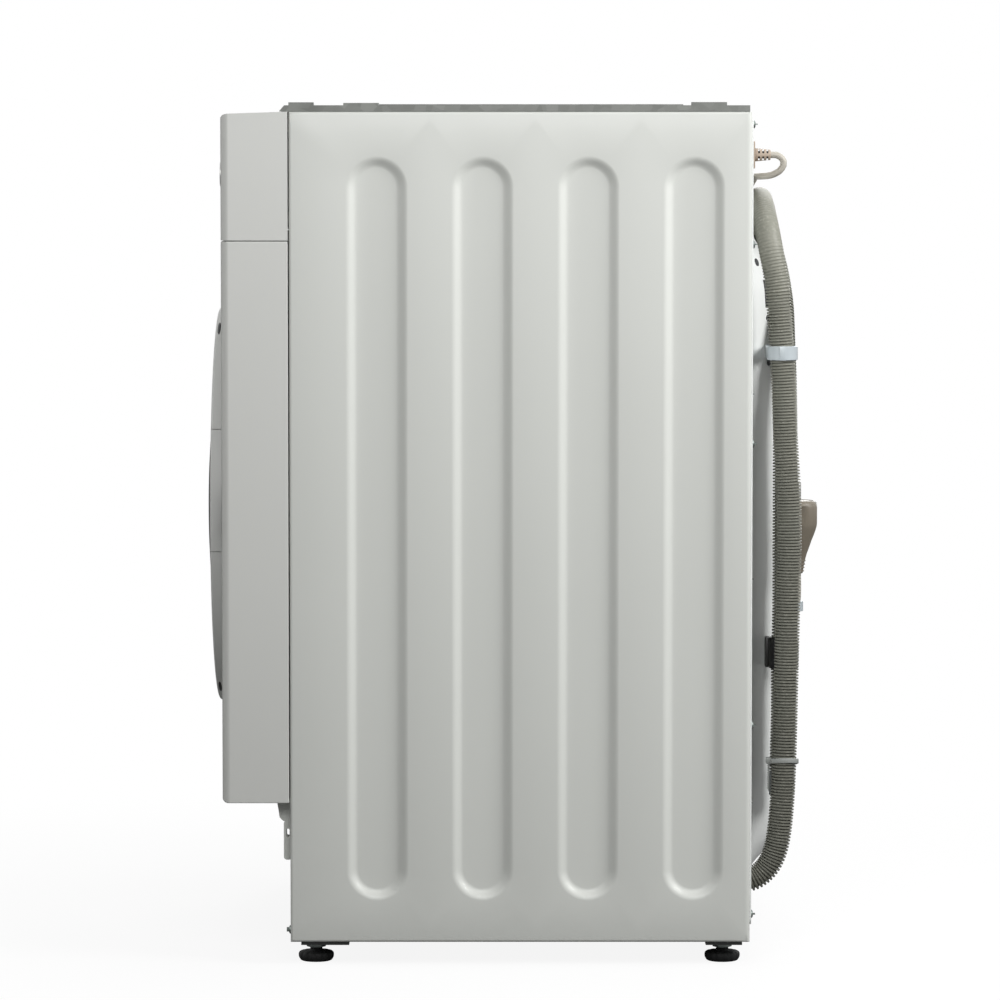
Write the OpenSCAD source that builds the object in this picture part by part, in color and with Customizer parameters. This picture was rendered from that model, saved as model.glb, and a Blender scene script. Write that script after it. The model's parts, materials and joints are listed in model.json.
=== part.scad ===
/* [Cabinet] */
// Overall width across the two side panels
body_w = 595; // [575:1:625]
// Height of the side panels' top edge above the floor
panel_top = 816; // [806:1:846]
// Height of the side panels' bottom edge above the floor
panel_foot = 22; // [18:1:26]
// Depth of the side panels, front edge to rear edge
panel_d = 440; // [430:1:480]
// Depth of the front mouldings ahead of the side panels
fascia_d = 65; // [60:1:80]
// Height of the lower edge of the front panel above the floor
plinth_h = 156; // [140:1:170]
// Height of the control panel
control_h = 123; // [110:1:130]
// Thickness of the painted sheet steel
sheet_t = 1.5; // [1:0.1:2]
// Wall of the plastic front mouldings
moulding_t = 3; // [2:0.5:4]
// Width of the folded flanges round the side panels
flange_w = 18; // [12:1:20]
// Corner radius of the front mouldings, seen from above
fascia_r = 8; // [4:1:14]
// Height of the galvanised top cover above the side panels
top_cover_h = 9; // [6:1:14]

/* [Side panel channels] */
// Number of pressed channels in each side panel
channel_n = 4; // [2:1:4]
// Distance between channel centres
channel_pitch = 100.6; // [92:0.2:104]
// Width of a channel at the panel's face
channel_w = 60; // [48:1:66]
// Depth of a channel
channel_deep = 5; // [3:0.5:6]
// Width of a channel's sloping wall
channel_slope = 10; // [6:1:12]
// Plain sheet above a channel
channel_top_gap = 42; // [30:1:60]
// Plain sheet below a channel
channel_foot_gap = 40; // [30:1:60]
// How far the channels stand behind the panel's middle
channel_shift = 14.4; // [0:0.2:16]

/* [Door] */
// Width of the door's outer ring beyond the wide end of the glass bowl
door_rim = 48.5; // [44:0.5:50]
// How far the middle of the door stands ahead of the front panel
door_out = 27; // [24:1:32]
// How much smaller the smoked window's radius is than the glass bowl's
window_in = 22; // [15:1:35]
// Widest opening angle of the door
door_swing = 110; // [90:5:115]

/* [Tub and drum] */
// Least space between the tub and a side panel's outer face
tub_side = 42.5; // [41:0.5:60]
// Height left between the tub and the control panel's lower edge
tub_over = 15; // [14:1:30]
// Height left under the tub for the motor, the pump and the dampers
tub_under = 124; // [122:1:140]
// Wall of the tub
tub_t = 5; // [4:0.5:6]
// Width of the tub's front wall round its neck
tub_front_w = 78; // [70:1:90]
// Gap between the drum and the tub's wall
drum_gap = 16; // [14:1:24]
// Depth kept behind the drum for its spider
spider_d = 39; // [38:1:50]
// Thickness of the drum's sheet
drum_t = 1.2; // [0.8:0.1:2]
// Radius of the drive shaft
shaft_r = 15; // [12:0.5:18]
// How much smaller the large belt pulley's pitch radius is than the tub's
pulley_in = 110; // [105:1:125]
// Pitch radius of the motor's belt pulley
motor_pulley_r = 10; // [9:0.5:12]
// Width of the drive belt
belt_w = 12; // [10:1:13]

/* [Feet] */
// Radius of a foot's rubber pad
pad_r = 17; // [15:1:20]
// Thickness of a foot's rubber pad
pad_h = 8; // [6:1:9]
// Distance of the feet from the side panels' outer faces
foot_inset = 32; // [30:1:36]

/* [Rear] */
// How far the rear cover stands behind the rear panel
bulge_out = 38; // [34:1:40]
// Distance of the rear cover's foot from the side panels' outer faces
bulge_in = 92.5; // [89.5:0.5:105.5]
// Outer radius of the corrugated drain hose
hose_r = 12; // [10:0.5:12.5]
// Radius of the mains lead
cord_r = 3.2; // [2.5:0.1:3.5]

/* [Controls] */
// Radius of the programme knob
knob_r = 24; // [20:1:26]
// How far the programme knob stands out
knob_out = 13; // [10:1:15]
// Width of the detergent drawer's front
drawer_w = 176; // [160:2:178]
// How far the detergent drawer slides out
drawer_travel = 170; // [120:5:175]

/* [Hidden] */
$fn = 96;
hull_fn = 32;

// Clearances between pieces that slide, turn or only stand beside each other
fit = 0.3;
running = 0.05;
eps = 0.01;

// Distance from the rear panel's plane to the rearmost point of the mains plug
rear_out = bulge_out + 40;
total_d = door_out + fascia_d + panel_d + rear_out;
half_w = body_w / 2;
bulge_half_w = half_w - bulge_in;
seam_z = panel_top - control_h;
y_door = -total_d / 2;
y_fascia = y_door + door_out;
y_frame = y_fascia + fascia_d;
y_rear = y_frame + panel_d;
y_back = y_rear + sheet_t;
joint_gap = 1;

// The tub is as large as the height and the width allow, and the drum and the door follow it
rail_z = panel_foot - 3.5;
rail_top = panel_foot + 22;
tub_r = min((seam_z - rail_top - tub_over - tub_under) / 2, half_w - tub_side);
axis_z = rail_top + tub_under + tub_r;
drum_r = tub_r - tub_t - drum_gap;
neck_r = tub_r - tub_front_w;
mouth_r = neck_r - 19;
collar_r = neck_r + 14;
bowl_r = neck_r - 27;
door_r = bowl_r + door_rim;
window_r = bowl_r - window_in;
pulley_r = tub_r - pulley_in;

// Tub, drum and drive, measured along the depth
tub_y0 = y_frame + 33;
tub_y1 = y_rear - 22;
seam_y = (tub_y0 + tub_y1) / 2 - 2.5;
drum_y0 = tub_y0 + 28;
drum_y1 = tub_y1 - spider_d;
hub_y1 = y_rear + 1;
pulley_y = y_rear + 5;
pulley_w = belt_w + 2;
motor_x = -70;
motor_z = axis_z - tub_r - 54;
motor_r = 55;

// Feet
foot_y_front = y_frame + 23.5;
foot_y_rear = y_rear - 25;
foot_x = half_w - foot_inset;
stud_r = 5;

// Door hinge and handle pivots
hinge_x = -(door_r + 6.5);
hinge_y = y_fascia - 8;
ring_back = y_fascia - 3;
handle_x = door_r - 33.5;
handle_z0 = axis_z - 34;
handle_z1 = axis_z + door_r - 113.5;
hook_x = bowl_r + 26;

// Control panel
drawer_x = -half_w + flange_w - 1 + drawer_w / 2;
drawer_z0 = seam_z + 20;
drawer_h = control_h - 35;
button_x = [108, 148, 188];
button_z = seam_z + 31;
knob_x = -12;
knob_z = (seam_z + panel_top) / 2 + 2;

// Drain pump in the front corner of the base
sump_x = tub_r - 115;
pump_x = sump_x + 20;
pump_z = rail_top + 51;
pump_r = 34;
pump_neck_z = pump_z + 42;
sump_y = tub_y0 + 32;

// Dispenser outlet above the tub, suspension points
outlet_x = drawer_x + 10;
outlet_y = y_frame + 120;
spring_x = tub_r + 7;
spring_y = seam_y + 28;
spring_r = 11;
spring_past_tub = sqrt(max(0, pow(tub_r + 8, 2) - pow(spring_x - spring_r, 2)));
spring_z0 = axis_z + spring_past_tub + 41.4634;
spring_z1 = panel_top - 34;
damper_x = tub_r * 2 / 3;
damper_y = tub_y0 + 150;

window_dome = 1000;
ring_slope = 0.037;
function ring_y(r) = y_door + pow(min(r, window_r), 2) / (2 * window_dome)
    + max(0, r - window_r) * ring_slope;

// A round solid from a profile of [radius, depth] points, about the drum axis
module turned(profile) {
    translate([0, 0, axis_z]) rotate([-90, 0, 0]) rotate_extrude() polygon(profile);
}

// A rod along the depth, from y0 to y1
module rod_y(x, z, r, y0, y1) {
    translate([x, y0, z]) rotate([-90, 0, 0]) cylinder(r = r, h = y1 - y0);
}

// A tube along the depth
module tube_y(x, z, r_in, r_out, y0, y1) {
    difference() {
        rod_y(x, z, r_out, y0, y1);
        rod_y(x, z, r_in, y0 - 1, y1 + 1);
    }
}

// An upright tube
module tube_z(x, y, r_in, r_out, z0, z1) {
    translate([x, y, z0]) difference() {
        cylinder(r = r_out, h = z1 - z0);
        translate([0, 0, -1]) cylinder(r = r_in, h = z1 - z0 + 2);
    }
}

// A box from its two corners
module box(x0, x1, y0, y1, z0, z1) {
    translate([x0, y0, z0]) cube([x1 - x0, y1 - y0, z1 - z0]);
}

// A flat outline in width and height, given depth from y0 to y1
module slab_y(y0, y1) {
    translate([0, y1, 0]) rotate([90, 0, 0]) linear_extrude(y1 - y0) children();
}

// A flat outline in depth and height, given width from x0 to x1
module slab_x(x0, x1) {
    translate([x0, 0, 0]) rotate([90, 0, 90]) linear_extrude(x1 - x0) children();
}

// A rectangle with round corners
module round_rect(x0, x1, y0, y1, r) {
    translate([x0 + r, y0]) square([x1 - x0 - 2 * r, y1 - y0]);
    translate([x0, y0 + r]) square([x1 - x0, y1 - y0 - 2 * r]);
    for (x = [x0 + r, x1 - r], y = [y0 + r, y1 - r]) translate([x, y]) circle(r);
}

// A rectangle with its two front corners round, seen from above
module front_plan(x, y0, y1, r) {
    translate([-x, y0 + r]) square([2 * x, y1 - y0 - r]);
    translate([-x + r, y0]) square([2 * x - 2 * r, y1 - y0]);
    for (s = [-1, 1]) translate([s * (x - r), y0 + r]) circle(r);
}

// Curve through hand-placed points, and a tube swept along it
function spline(a, b, c, d, t) = 0.5 * (2 * b + (c - a) * t + (2 * a - 5 * b + 4 * c - d) * t * t
    + (3 * b - 3 * c + d - a) * t * t * t);
function spline_at(p, u) = let(last = len(p) - 1, i = min(last - 1, floor(u)), t = u - i)
    spline(p[max(0, i - 1)], p[i], p[i + 1], p[min(last, i + 2)], t);
function unit(v) = v / norm(v);
function rings_of(path, radii, sides, ref) = [
    for (i = [0 : len(path) - 1])
        let(
            a = path[max(0, i - 1)],
            b = path[min(len(path) - 1, i + 1)],
            t = unit(b - a),
            n = unit(cross(t, is_list(ref[0]) ? ref[i] : ref)),
            m = cross(n, t)
        )
        for (k = [0 : sides - 1])
            path[i] + radii[i] * (n * cos(360 * k / sides) + m * sin(360 * k / sides))
];
function wall_faces(rows, sides, base, out) = [
    for (i = [0 : rows - 2], k = [0 : sides - 1])
        let(
            a = base + i * sides + k,
            b = base + i * sides + (k + 1) % sides,
            c = b + sides,
            d = a + sides
        )
        for (f = out ? [[a, b, c], [a, c, d]] : [[a, c, b], [a, d, c]]) f
];
function lid_faces(sides, base, start) = [
    for (k = [1 : sides - 2])
        start ? [base, base + k + 1, base + k] : [base, base + k, base + k + 1]
];
function rim_faces(sides, outer, inner, start) = [
    for (k = [0 : sides - 1])
        let(a = outer + k, b = outer + (k + 1) % sides, c = inner + (k + 1) % sides, d = inner + k)
        for (f = start ? [[a, c, b], [a, d, c]] : [[a, b, c], [a, c, d]]) f
];

// Least gap between stretches of one tube that lie at least skip points apart
function least_gap(path, r, skip) = min([
    for (i = [0 : len(path) - 1 - skip], j = [i + skip : len(path) - 1]) norm(path[i] - path[j])
]) - 2 * r;

// A solid round tube along a path
module swept(path, radii, sides, ref) {
    rows = len(path);
    polyhedron(
        points = rings_of(path, radii, sides, ref),
        faces = concat(
            wall_faces(rows, sides, 0, false),
            lid_faces(sides, 0, false),
            lid_faces(sides, (rows - 1) * sides, true)
        )
    );
}

// A hollow round tube along a path, with its own inner path
module swept_hollow(path, radii, core, core_r, sides, ref) {
    rows = len(path);
    inner = len(core);
    first = rows * sides;
    polyhedron(
        points = concat(
            rings_of(path, radii, sides, ref),
            rings_of(core, [for (i = core) core_r], sides, ref)
        ),
        faces = concat(
            wall_faces(rows, sides, 0, false),
            wall_faces(inner, sides, first, true),
            rim_faces(sides, 0, first, false),
            rim_faces(sides, (rows - 1) * sides, first + (inner - 1) * sides, true)
        )
    );
}

// Side panels: pressed sheet with folded flanges and vertical channels
channel_half = channel_w / 2;
channel_z0 = panel_foot + channel_foot_gap + channel_half;
channel_z1 = panel_top - channel_top_gap - channel_half;
channel_mid_y = y_frame + panel_d / 2 + channel_shift;

function channel_edge(grow) = [
    [channel_half + grow, 0],
    [channel_half + grow - channel_slope * 0.2, channel_deep * 0.14 + grow],
    [channel_half + grow - channel_slope * 0.8, channel_deep * 0.86 + grow],
    [channel_half + grow - channel_slope, channel_deep + grow],
    [0, channel_deep + grow]
];
module channel_form(grow) {
    half = concat([[0, -grow - 0.5], [channel_half + grow, -grow - 0.5]], channel_edge(grow));
    mirrored = [for (i = [len(half) - 2 : -1 : 1]) [-half[i][0], half[i][1]]];
    for (z = [channel_z0, channel_z1]) translate([0, z, 0]) rotate_extrude() polygon(half);
    translate([0, channel_z1, 0]) rotate([90, 0, 0]) linear_extrude(channel_z1 - channel_z0)
        polygon(concat(half, mirrored));
}
module channels(grow) {
    for (i = [0 : channel_n - 1])
        translate([half_w, channel_mid_y + (i - (channel_n - 1) / 2) * channel_pitch, 0])
            mirror([1, 0, 0]) rotate([90, 0, 90]) channel_form(grow);
}
module side_sheet() {
    difference() {
        union() {
            box(half_w - sheet_t, half_w, y_frame, y_rear, panel_foot, panel_top);
            intersection() {
                channels(sheet_t);
                box(half_w - channel_deep - 3 * sheet_t, half_w - eps, y_frame, y_rear,
                    panel_foot, panel_top);
            }
        }
        channels(0);
    }
    box(half_w - flange_w, half_w - sheet_t, y_frame, y_frame + sheet_t, panel_foot, panel_top);
    box(half_w - flange_w, half_w - sheet_t, y_rear - sheet_t, y_rear, panel_foot, panel_top);
    box(half_w - flange_w, half_w - sheet_t, y_frame + sheet_t, y_rear - sheet_t,
        panel_top - sheet_t, panel_top);
    difference() {
        box(half_w - foot_inset + 12, half_w - sheet_t, y_frame + sheet_t, y_rear - sheet_t,
            panel_foot, panel_foot + sheet_t);
        for (y = [foot_y_front, foot_y_rear])
            translate([foot_x, y, 0]) cylinder(r = stud_r + 1, h = panel_foot + 5);
    }
    spring_hanger();
}
module spring_hanger() {
    difference() {
        box(spring_x - 14, half_w - sheet_t, spring_y - 14, spring_y + 14,
            spring_z1, spring_z1 + 3);
        translate([spring_x, spring_y, spring_z1 - 1]) cylinder(r = 3, h = 5);
    }
    for (s = [-1, 1])
        box(spring_x - 14, half_w - sheet_t, spring_y + s * 14 - 1, spring_y + s * 14 + 1,
            spring_z1, spring_z1 + 22);
}
module side_panel_right() { color("gainsboro") side_sheet(); }
module side_panel_left() { color("gainsboro") mirror([1, 0, 0]) side_sheet(); }

// Rear panel and the deep pressed cover over the drive
bulge_z0 = panel_foot + 22;
bulge_z1 = panel_top - 92;
bulge_mid = bulge_out - 9;
hose_exit_x = bulge_half_w + 12;
hose_exit_z = panel_foot + 48;
inlet_x = drawer_x - 7.5;
inlet_z = drawer_z0 + 57;
relief_x = half_w - 25;
relief_z = panel_top - 41;

module rear_opening() {
    round_rect(-bulge_half_w + 16, bulge_half_w - 16, bulge_z0 + 16, bulge_z1 - 16, 70);
}
module rear_panel() {
    color("whitesmoke") difference() {
        union() {
            slab_y(y_rear, y_back)
                round_rect(-half_w + 4, half_w - 4, panel_foot + 16, panel_top - 3, 6);
            for (z = [panel_top - 70, panel_foot + 60])
                slab_y(y_back, y_back + 2) round_rect(-half_w + 16, -bulge_half_w - 30, z, z + 8, 3.9);
        }
        slab_y(y_rear - 1, y_back + 1) rear_opening();
        rod_y(hose_exit_x, hose_exit_z, hose_r + 2, y_rear - 1, y_back + 4);
        rod_y(inlet_x, inlet_z, 15, y_rear - 1, y_back + 4);
        rod_y(relief_x, relief_z, 6.5, y_rear - 1, y_back + 4);
    }
}
module plate_layer(half, z0, z1, y, r, t) {
    for (x = [-half + r, half - r], z = [z0 + r, z1 - r])
        translate([x, y, z]) rotate([-90, 0, 0]) cylinder(r = r, h = t, $fn = hull_fn);
}
module bulge_form(g, y) {
    hull() {
        plate_layer(bulge_half_w - 9 - g, bulge_z0 + 9 + g, bulge_z1 - 9 - g, y, 84, 0.5);
        plate_layer(bulge_half_w - 42 - g, bulge_z0 + 40 + g, bulge_z1 - 84 - g,
            y + bulge_mid - 0.5 - g, 75, 0.5);
        plate_layer(bulge_half_w - 110, axis_z - 96, axis_z + 34, y + bulge_out - 0.5 - g, 60, 0.5);
    }
}
module rear_cover() {
    color("whitesmoke") difference() {
        union() {
            hull() plate_layer(bulge_half_w, bulge_z0, bulge_z1, y_back, 90, sheet_t);
            bulge_form(0, y_back + 0.2);
        }
        bulge_form(sheet_t, y_back - 0.6);
    }
}

// Top cover: galvanised sheet with a turned rim and raised pads
cover_z = panel_top + top_cover_h - 3;
module top_cover() {
    x = half_w - 1;
    y0 = y_frame - 9;
    y1 = y_rear - 2;
    color("darkgray") {
        difference() {
            box(-x, x, y0 + 8, y1, panel_top, cover_z);
            box(-x + 1.2, x - 1.2, y0 + 9.2, y1 - 1.2, panel_top - 1, cover_z - 1.2);
        }
        slab_x(-x, x) polygon([
            [y0, panel_top + 0.2], [y0 + 9, panel_top + 0.2], [y0 + 9, cover_z], [y0 + 5, cover_z]
        ]);
        for (s = [-1, 1]) {
            box(s * (x - 14) - 14, s * (x - 14) + 14, y0 + 9, y0 + 32.5, cover_z, cover_z + 2.8);
            box(s * (x - 14) - 14, s * (x - 14) + 14, y0 + 61, y0 + 94.5, cover_z, cover_z + 2.2);
            box(s * (x - 14) - 14, s * (x - 14) + 14, y1 - 55, y1 - 22, cover_z, cover_z + 3);
        }
        for (i = [-2 : 2])
            slab_x(i * 90 - 22, i * 90 + 22)
                round_rect(y0 + 70, y1 - 60, cover_z - 1, cover_z + 1.5, 1.2);
    }
}

// Front frame: the carcass front with the porthole collar and the plinth lugs
module front_frame() {
    lug_x = half_w - 28;
    color("lightgray") {
        difference() {
            union() {
                slab_y(y_frame, y_frame + sheet_t)
                    round_rect(-half_w + flange_w + fit, half_w - flange_w - fit,
                        panel_foot + 30, seam_z + 10, 3);
                rod_y(0, axis_z, collar_r, y_frame - 9, y_frame);
            }
            rod_y(0, axis_z, collar_r - 2, y_frame - 10, y_frame + 5);
            rod_y(pump_x, pump_z, 31, y_frame - 10, y_frame + 5);
        }
        for (s = [-1, 1]) {
            slab_x(s * lug_x - 9, s * lug_x + 9) polygon([
                [y_frame + 1, plinth_h - fit], [y_frame - 13.5, plinth_h - fit],
                [y_frame - 12, plinth_h - 9], [y_frame - 11, plinth_h - 16],
                [y_frame - 7.5, plinth_h - 19.5], [y_frame + 1, plinth_h - 19.5]
            ]);
            difference() {
                slab_x(s * lug_x - 9, s * lug_x + 9)
                    round_rect(y_frame - 7, y_frame + 1, plinth_h - 57, plinth_h - 19, 3);
                slab_x(s * lug_x - 10, s * lug_x + 10)
                    round_rect(y_frame - 4.5, y_frame - 1.5, plinth_h - 35, plinth_h - 27, 1.4);
            }
        }
    }
}

// Base rails: plates over the feet and three channels across the cabinet
module cross_rail(y0, y1) {
    x = half_w - foot_inset + 10;
    box(-x, x, y0, y1, panel_foot, panel_foot + 2);
    box(-x, x, y0, y0 + 2, panel_foot + 2, rail_top);
    box(-x, x, y1 - 2, y1, panel_foot + 2, rail_top);
}
module base_rails() {
    color("dimgray") {
        difference() {
            union() {
                for (y = [[y_frame + 10, y_frame + 56], [y_rear - 42, y_rear - 7]])
                    box(-half_w + 5, half_w - 5, y[0], y[1], rail_z, panel_foot);
                cross_rail(y_frame + 10, y_frame + 56);
                cross_rail(y_rear - 42, y_rear - 7);
            }
            for (s = [-1, 1], y = [foot_y_front, foot_y_rear])
                translate([s * foot_x, y, rail_z - 1]) cylinder(r = stud_r + running, h = 60);
        }
        box(-half_w + sheet_t + 30, half_w - sheet_t - 30, damper_y - 20, damper_y + 20,
            panel_foot, panel_foot + 3);
        box(-half_w + sheet_t + 30, half_w - sheet_t - 30, damper_y - 14, damper_y + 14,
            panel_foot + 3, rail_top);
        for (s = [-1, 1])
            box(s * (half_w - 51.5) - 12, s * (half_w - 51.5) + 12, y_frame + 56, y_rear - 42,
                panel_foot, panel_foot + 2);
    }
}

// Front mouldings
module front_panel() {
    y1 = y_frame - joint_gap;
    lip_r = collar_r - 11;
    color("white") {
        difference() {
            intersection() {
                translate([0, 0, plinth_h]) linear_extrude(seam_z - plinth_h)
                    front_plan(half_w, y_fascia, y1, fascia_r);
                slab_x(-half_w, half_w)
                    round_rect(y_fascia, y1 + 20, plinth_h, seam_z + 20, 5);
            }
            translate([0, 0, plinth_h + moulding_t]) linear_extrude(seam_z)
                front_plan(half_w - moulding_t, y_fascia + moulding_t, y1 + 1, fascia_r - 2);
            rod_y(0, axis_z, lip_r, y_fascia - 1, y_fascia + 10);
            box(lip_r - 12, lip_r + 30, y_fascia - 1, y_fascia + 10, axis_z - 22, axis_z + 22);
            box(-lip_r - 40, -lip_r + 12, y_fascia - 1, y_fascia + 10, axis_z - 46, axis_z + 46);
        }
        difference() {
            rod_y(0, axis_z, lip_r + 3, y_fascia + moulding_t, y_fascia + 22);
            rod_y(0, axis_z, lip_r, y_fascia, y_fascia + 30);
            box(0, 300, y_fascia, y_fascia + 40, axis_z - 50, axis_z + 50);
            box(-300, 0, y_fascia, y_fascia + 40, axis_z - 60, axis_z + 60);
        }
    }
}
module control_panel() {
    y1 = y_frame - joint_gap;
    z0 = seam_z + 0.8;
    color("white") difference() {
        intersection() {
            translate([0, 0, z0]) linear_extrude(panel_top - z0)
                front_plan(half_w, y_fascia, y1, fascia_r);
            slab_x(-half_w, half_w) polygon([
                [y_fascia, z0], [y1, z0], [y1, panel_top], [y_fascia + 6, panel_top - 2],
                [y_fascia + 2, panel_top - 3.2], [y_fascia, panel_top - 6]
            ]);
        }
        translate([0, 0, z0 - 1]) linear_extrude(panel_top - z0 - moulding_t - 1)
            front_plan(half_w - moulding_t, y_fascia + moulding_t, y1 + 1, fascia_r - 2);
        slab_y(y_fascia - 1, y_fascia + 10)
            round_rect(drawer_x - drawer_w / 2 - 1, drawer_x + drawer_w / 2 + 1,
                drawer_z0 - 1, drawer_z0 + drawer_h + 1, 5);
        rod_y(knob_x, knob_z, 4.06, y_fascia - 1, y_fascia + 10);
        for (x = button_x)
            slab_y(y_fascia - 1, y_fascia + 10)
                round_rect(x - 11.3, x + 11.3, button_z - 4.3, button_z + 4.3, 3.3);
        rod_y(half_w - 52, knob_z, 12.3, y_fascia - 1, y_fascia + 10);
        slab_y(y_fascia - 1, y_fascia + 1.6)
            round_rect(button_x[0] - 14, button_x[2] + 14, knob_z - 4, knob_z + 30, 4);
    }
}
module display_window() {
    color("black") slab_y(y_fascia - 0.2, y_fascia + 1.5)
        round_rect(button_x[0] - 13.8, button_x[2] + 13.8, knob_z - 3.8, knob_z + 29.8, 3.8);
}
module programme_knob() {
    color("silver") {
        difference() {
            rod_y(knob_x, knob_z, knob_r, y_fascia - knob_out, y_fascia - 0.6);
            for (a = [0 : 15 : 345])
                translate([knob_x, 0, knob_z]) rotate([0, a, 0])
                    translate([knob_r + 0.7, y_fascia - knob_out - 1, 0])
                        rotate([-90, 0, 0]) cylinder(r = 1.4, h = knob_out - 2);
            box(knob_x - 0.8, knob_x + 0.8, y_fascia - knob_out - 1, y_fascia - knob_out + 0.6,
                knob_z + knob_r * 0.45, knob_z + knob_r * 0.88);
        }
        rod_y(knob_x, knob_z, 4, y_fascia - 0.6, y_fascia + 14);
    }
}
module start_button() {
    color("silver") {
        rod_y(half_w - 52, knob_z, 12, y_fascia - 2.5, y_fascia + 8);
        rod_y(half_w - 52, knob_z, 4, y_fascia + 8, y_fascia + 14);
    }
}
module option_button(i) {
    color("white") {
        slab_y(y_fascia - 1.8, y_fascia + 8)
            round_rect(button_x[i] - 11, button_x[i] + 11, button_z - 4, button_z + 4, 3);
        rod_y(button_x[i], button_z, 2.5, y_fascia + 8, y_fascia + 14);
    }
}
module option_button_1() { option_button(0); }
module option_button_2() { option_button(1); }
module option_button_3() { option_button(2); }
module control_board() {
    color("seagreen") {
        box(button_x[0] - 40, half_w - 14, y_fascia + 17, y_fascia + 18.6,
            seam_z + 10, panel_top - 12);
        for (i = [0 : 4])
            box(button_x[0] - 30 + i * 36, button_x[0] - 12 + i * 36,
                y_fascia + 18.6, y_fascia + 26, seam_z + 20, seam_z + 38);
        for (x = [button_x[0] - 34, half_w - 20])
            rod_y(x, panel_top - 20, 3, y_fascia + moulding_t, y_fascia + 17);
    }
}

// Detergent drawer, its siphon and the housing that it slides in
tray_w = drawer_w - 16;
tray_y1 = y_frame + 118;
module detergent_drawer() {
    x0 = drawer_x - tray_w / 2;
    x1 = drawer_x + tray_w / 2;
    color("white") {
        difference() {
            slab_y(y_fascia, y_fascia + 10)
                round_rect(drawer_x - drawer_w / 2, drawer_x + drawer_w / 2,
                    drawer_z0, drawer_z0 + drawer_h, 4);
            slab_y(y_fascia - 1, y_fascia + 7)
                round_rect(drawer_x - 45, drawer_x + 45, drawer_z0 + 8, drawer_z0 + 30, 8);
        }
        difference() {
            box(x0, x1, y_fascia + 10, tray_y1, drawer_z0 + 8, drawer_z0 + drawer_h - 18);
            for (c = [[x0 + 2.5, x0 + tray_w * 0.38], [x0 + tray_w * 0.38 + 2.5, x0 + tray_w * 0.62],
                    [x0 + tray_w * 0.62 + 2.5, x1 - 2.5]])
                box(c[0], c[1], y_fascia + 13, tray_y1 - 2.5, drawer_z0 + 11,
                    drawer_z0 + drawer_h);
        }
    }
}
module drawer_siphon() {
    x = drawer_x;
    color("royalblue") {
        box(x - tray_w * 0.12 + 3, x + tray_w * 0.12 - 0.4, y_fascia + 120, y_fascia + 160,
            drawer_z0 + drawer_h - 30, drawer_z0 + drawer_h - 24);
        tube_z(x, y_fascia + 140, 4, 8, drawer_z0 + 11.2, drawer_z0 + drawer_h - 30);
    }
}
module drawer_housing() {
    x0 = drawer_x - tray_w / 2 - 6;
    x1 = drawer_x + tray_w / 2 + 6;
    y0 = y_fascia + 11;
    y1 = tray_y1 + 22;
    color("white") difference() {
        union() {
            box(x0, x1, y0, y1, drawer_z0 + 2, drawer_z0 + drawer_h - 4);
            translate([outlet_x, outlet_y, drawer_z0 - 18]) cylinder(r = 14, h = 22);
            rod_y(inlet_x, inlet_z, 7.7, y1, y1 + 16);
        }
        box(x0 + 3, x1 - 3, y0 - 1, y1 - 3, drawer_z0 + 7.7, drawer_z0 + drawer_h - 16);
        box(x0 + 3, x1 - 3, y0 + 20, y1 - 3, drawer_z0 + drawer_h - 13.5, drawer_z0 + drawer_h - 7);
        for (y = [y0 + 50 : 25 : y1 - 60], x = [x0 + 30 : 25 : x1 - 30])
            translate([x, y, drawer_z0 + drawer_h - 18]) cylinder(r = 2, h = 6);
        translate([outlet_x, outlet_y, drawer_z0 - 19]) cylinder(r = 11.5, h = 40);
        rod_y(inlet_x, inlet_z, 5, y1 - 4, y1 + 17);
    }
}

// Water inlet at the rear
module inlet_valve() {
    color("whitesmoke") {
        tube_y(inlet_x, inlet_z, 9.5, 13.2, y_back + fit, y_back + 13);
        tube_y(inlet_x, inlet_z, 9.5, 14.6, y_rear - 8, y_back + fit);
        difference() {
            rod_y(inlet_x, inlet_z, 17, y_rear - 40, y_rear - 8);
            rod_y(inlet_x, inlet_z, 9.5, y_rear - 30, y_rear - 7);
        }
        box(inlet_x - 14, inlet_x + 14, y_rear - 38, y_rear - 12, inlet_z + 12, inlet_z + 38);
        rod_y(inlet_x, inlet_z, 7.7, y_rear - 56, y_rear - 40);
    }
}
module fill_hose() {
    color("black")
        tube_y(inlet_x, inlet_z, 7.8, 10.5, tray_y1 + 24, y_rear - 41);
}
module dispenser_hose() {
    z0 = tub_port_z(outlet_x + 20) + 12;
    z1 = drawer_z0 - 3;
    rib = (z1 - z0) / 8;
    color("dimgray") translate([outlet_x, outlet_y, 0]) rotate_extrude() polygon(concat(
        [[14.3, z0], [17, z0]],
        [for (i = [1 : 7]) each [[17, z0 + rib * (i - 0.4)], [20, z0 + rib * i],
            [17, z0 + rib * (i + 0.4)]]],
        [[17, z1], [14.3, z1]]
    ));
}

// Height of the tub's outside above or below a point
function tub_port_z(x) = axis_z + sqrt(tub_r * tub_r - x * x);
function tub_under_z(x) = axis_z - sqrt(tub_r * tub_r - x * x);

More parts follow.
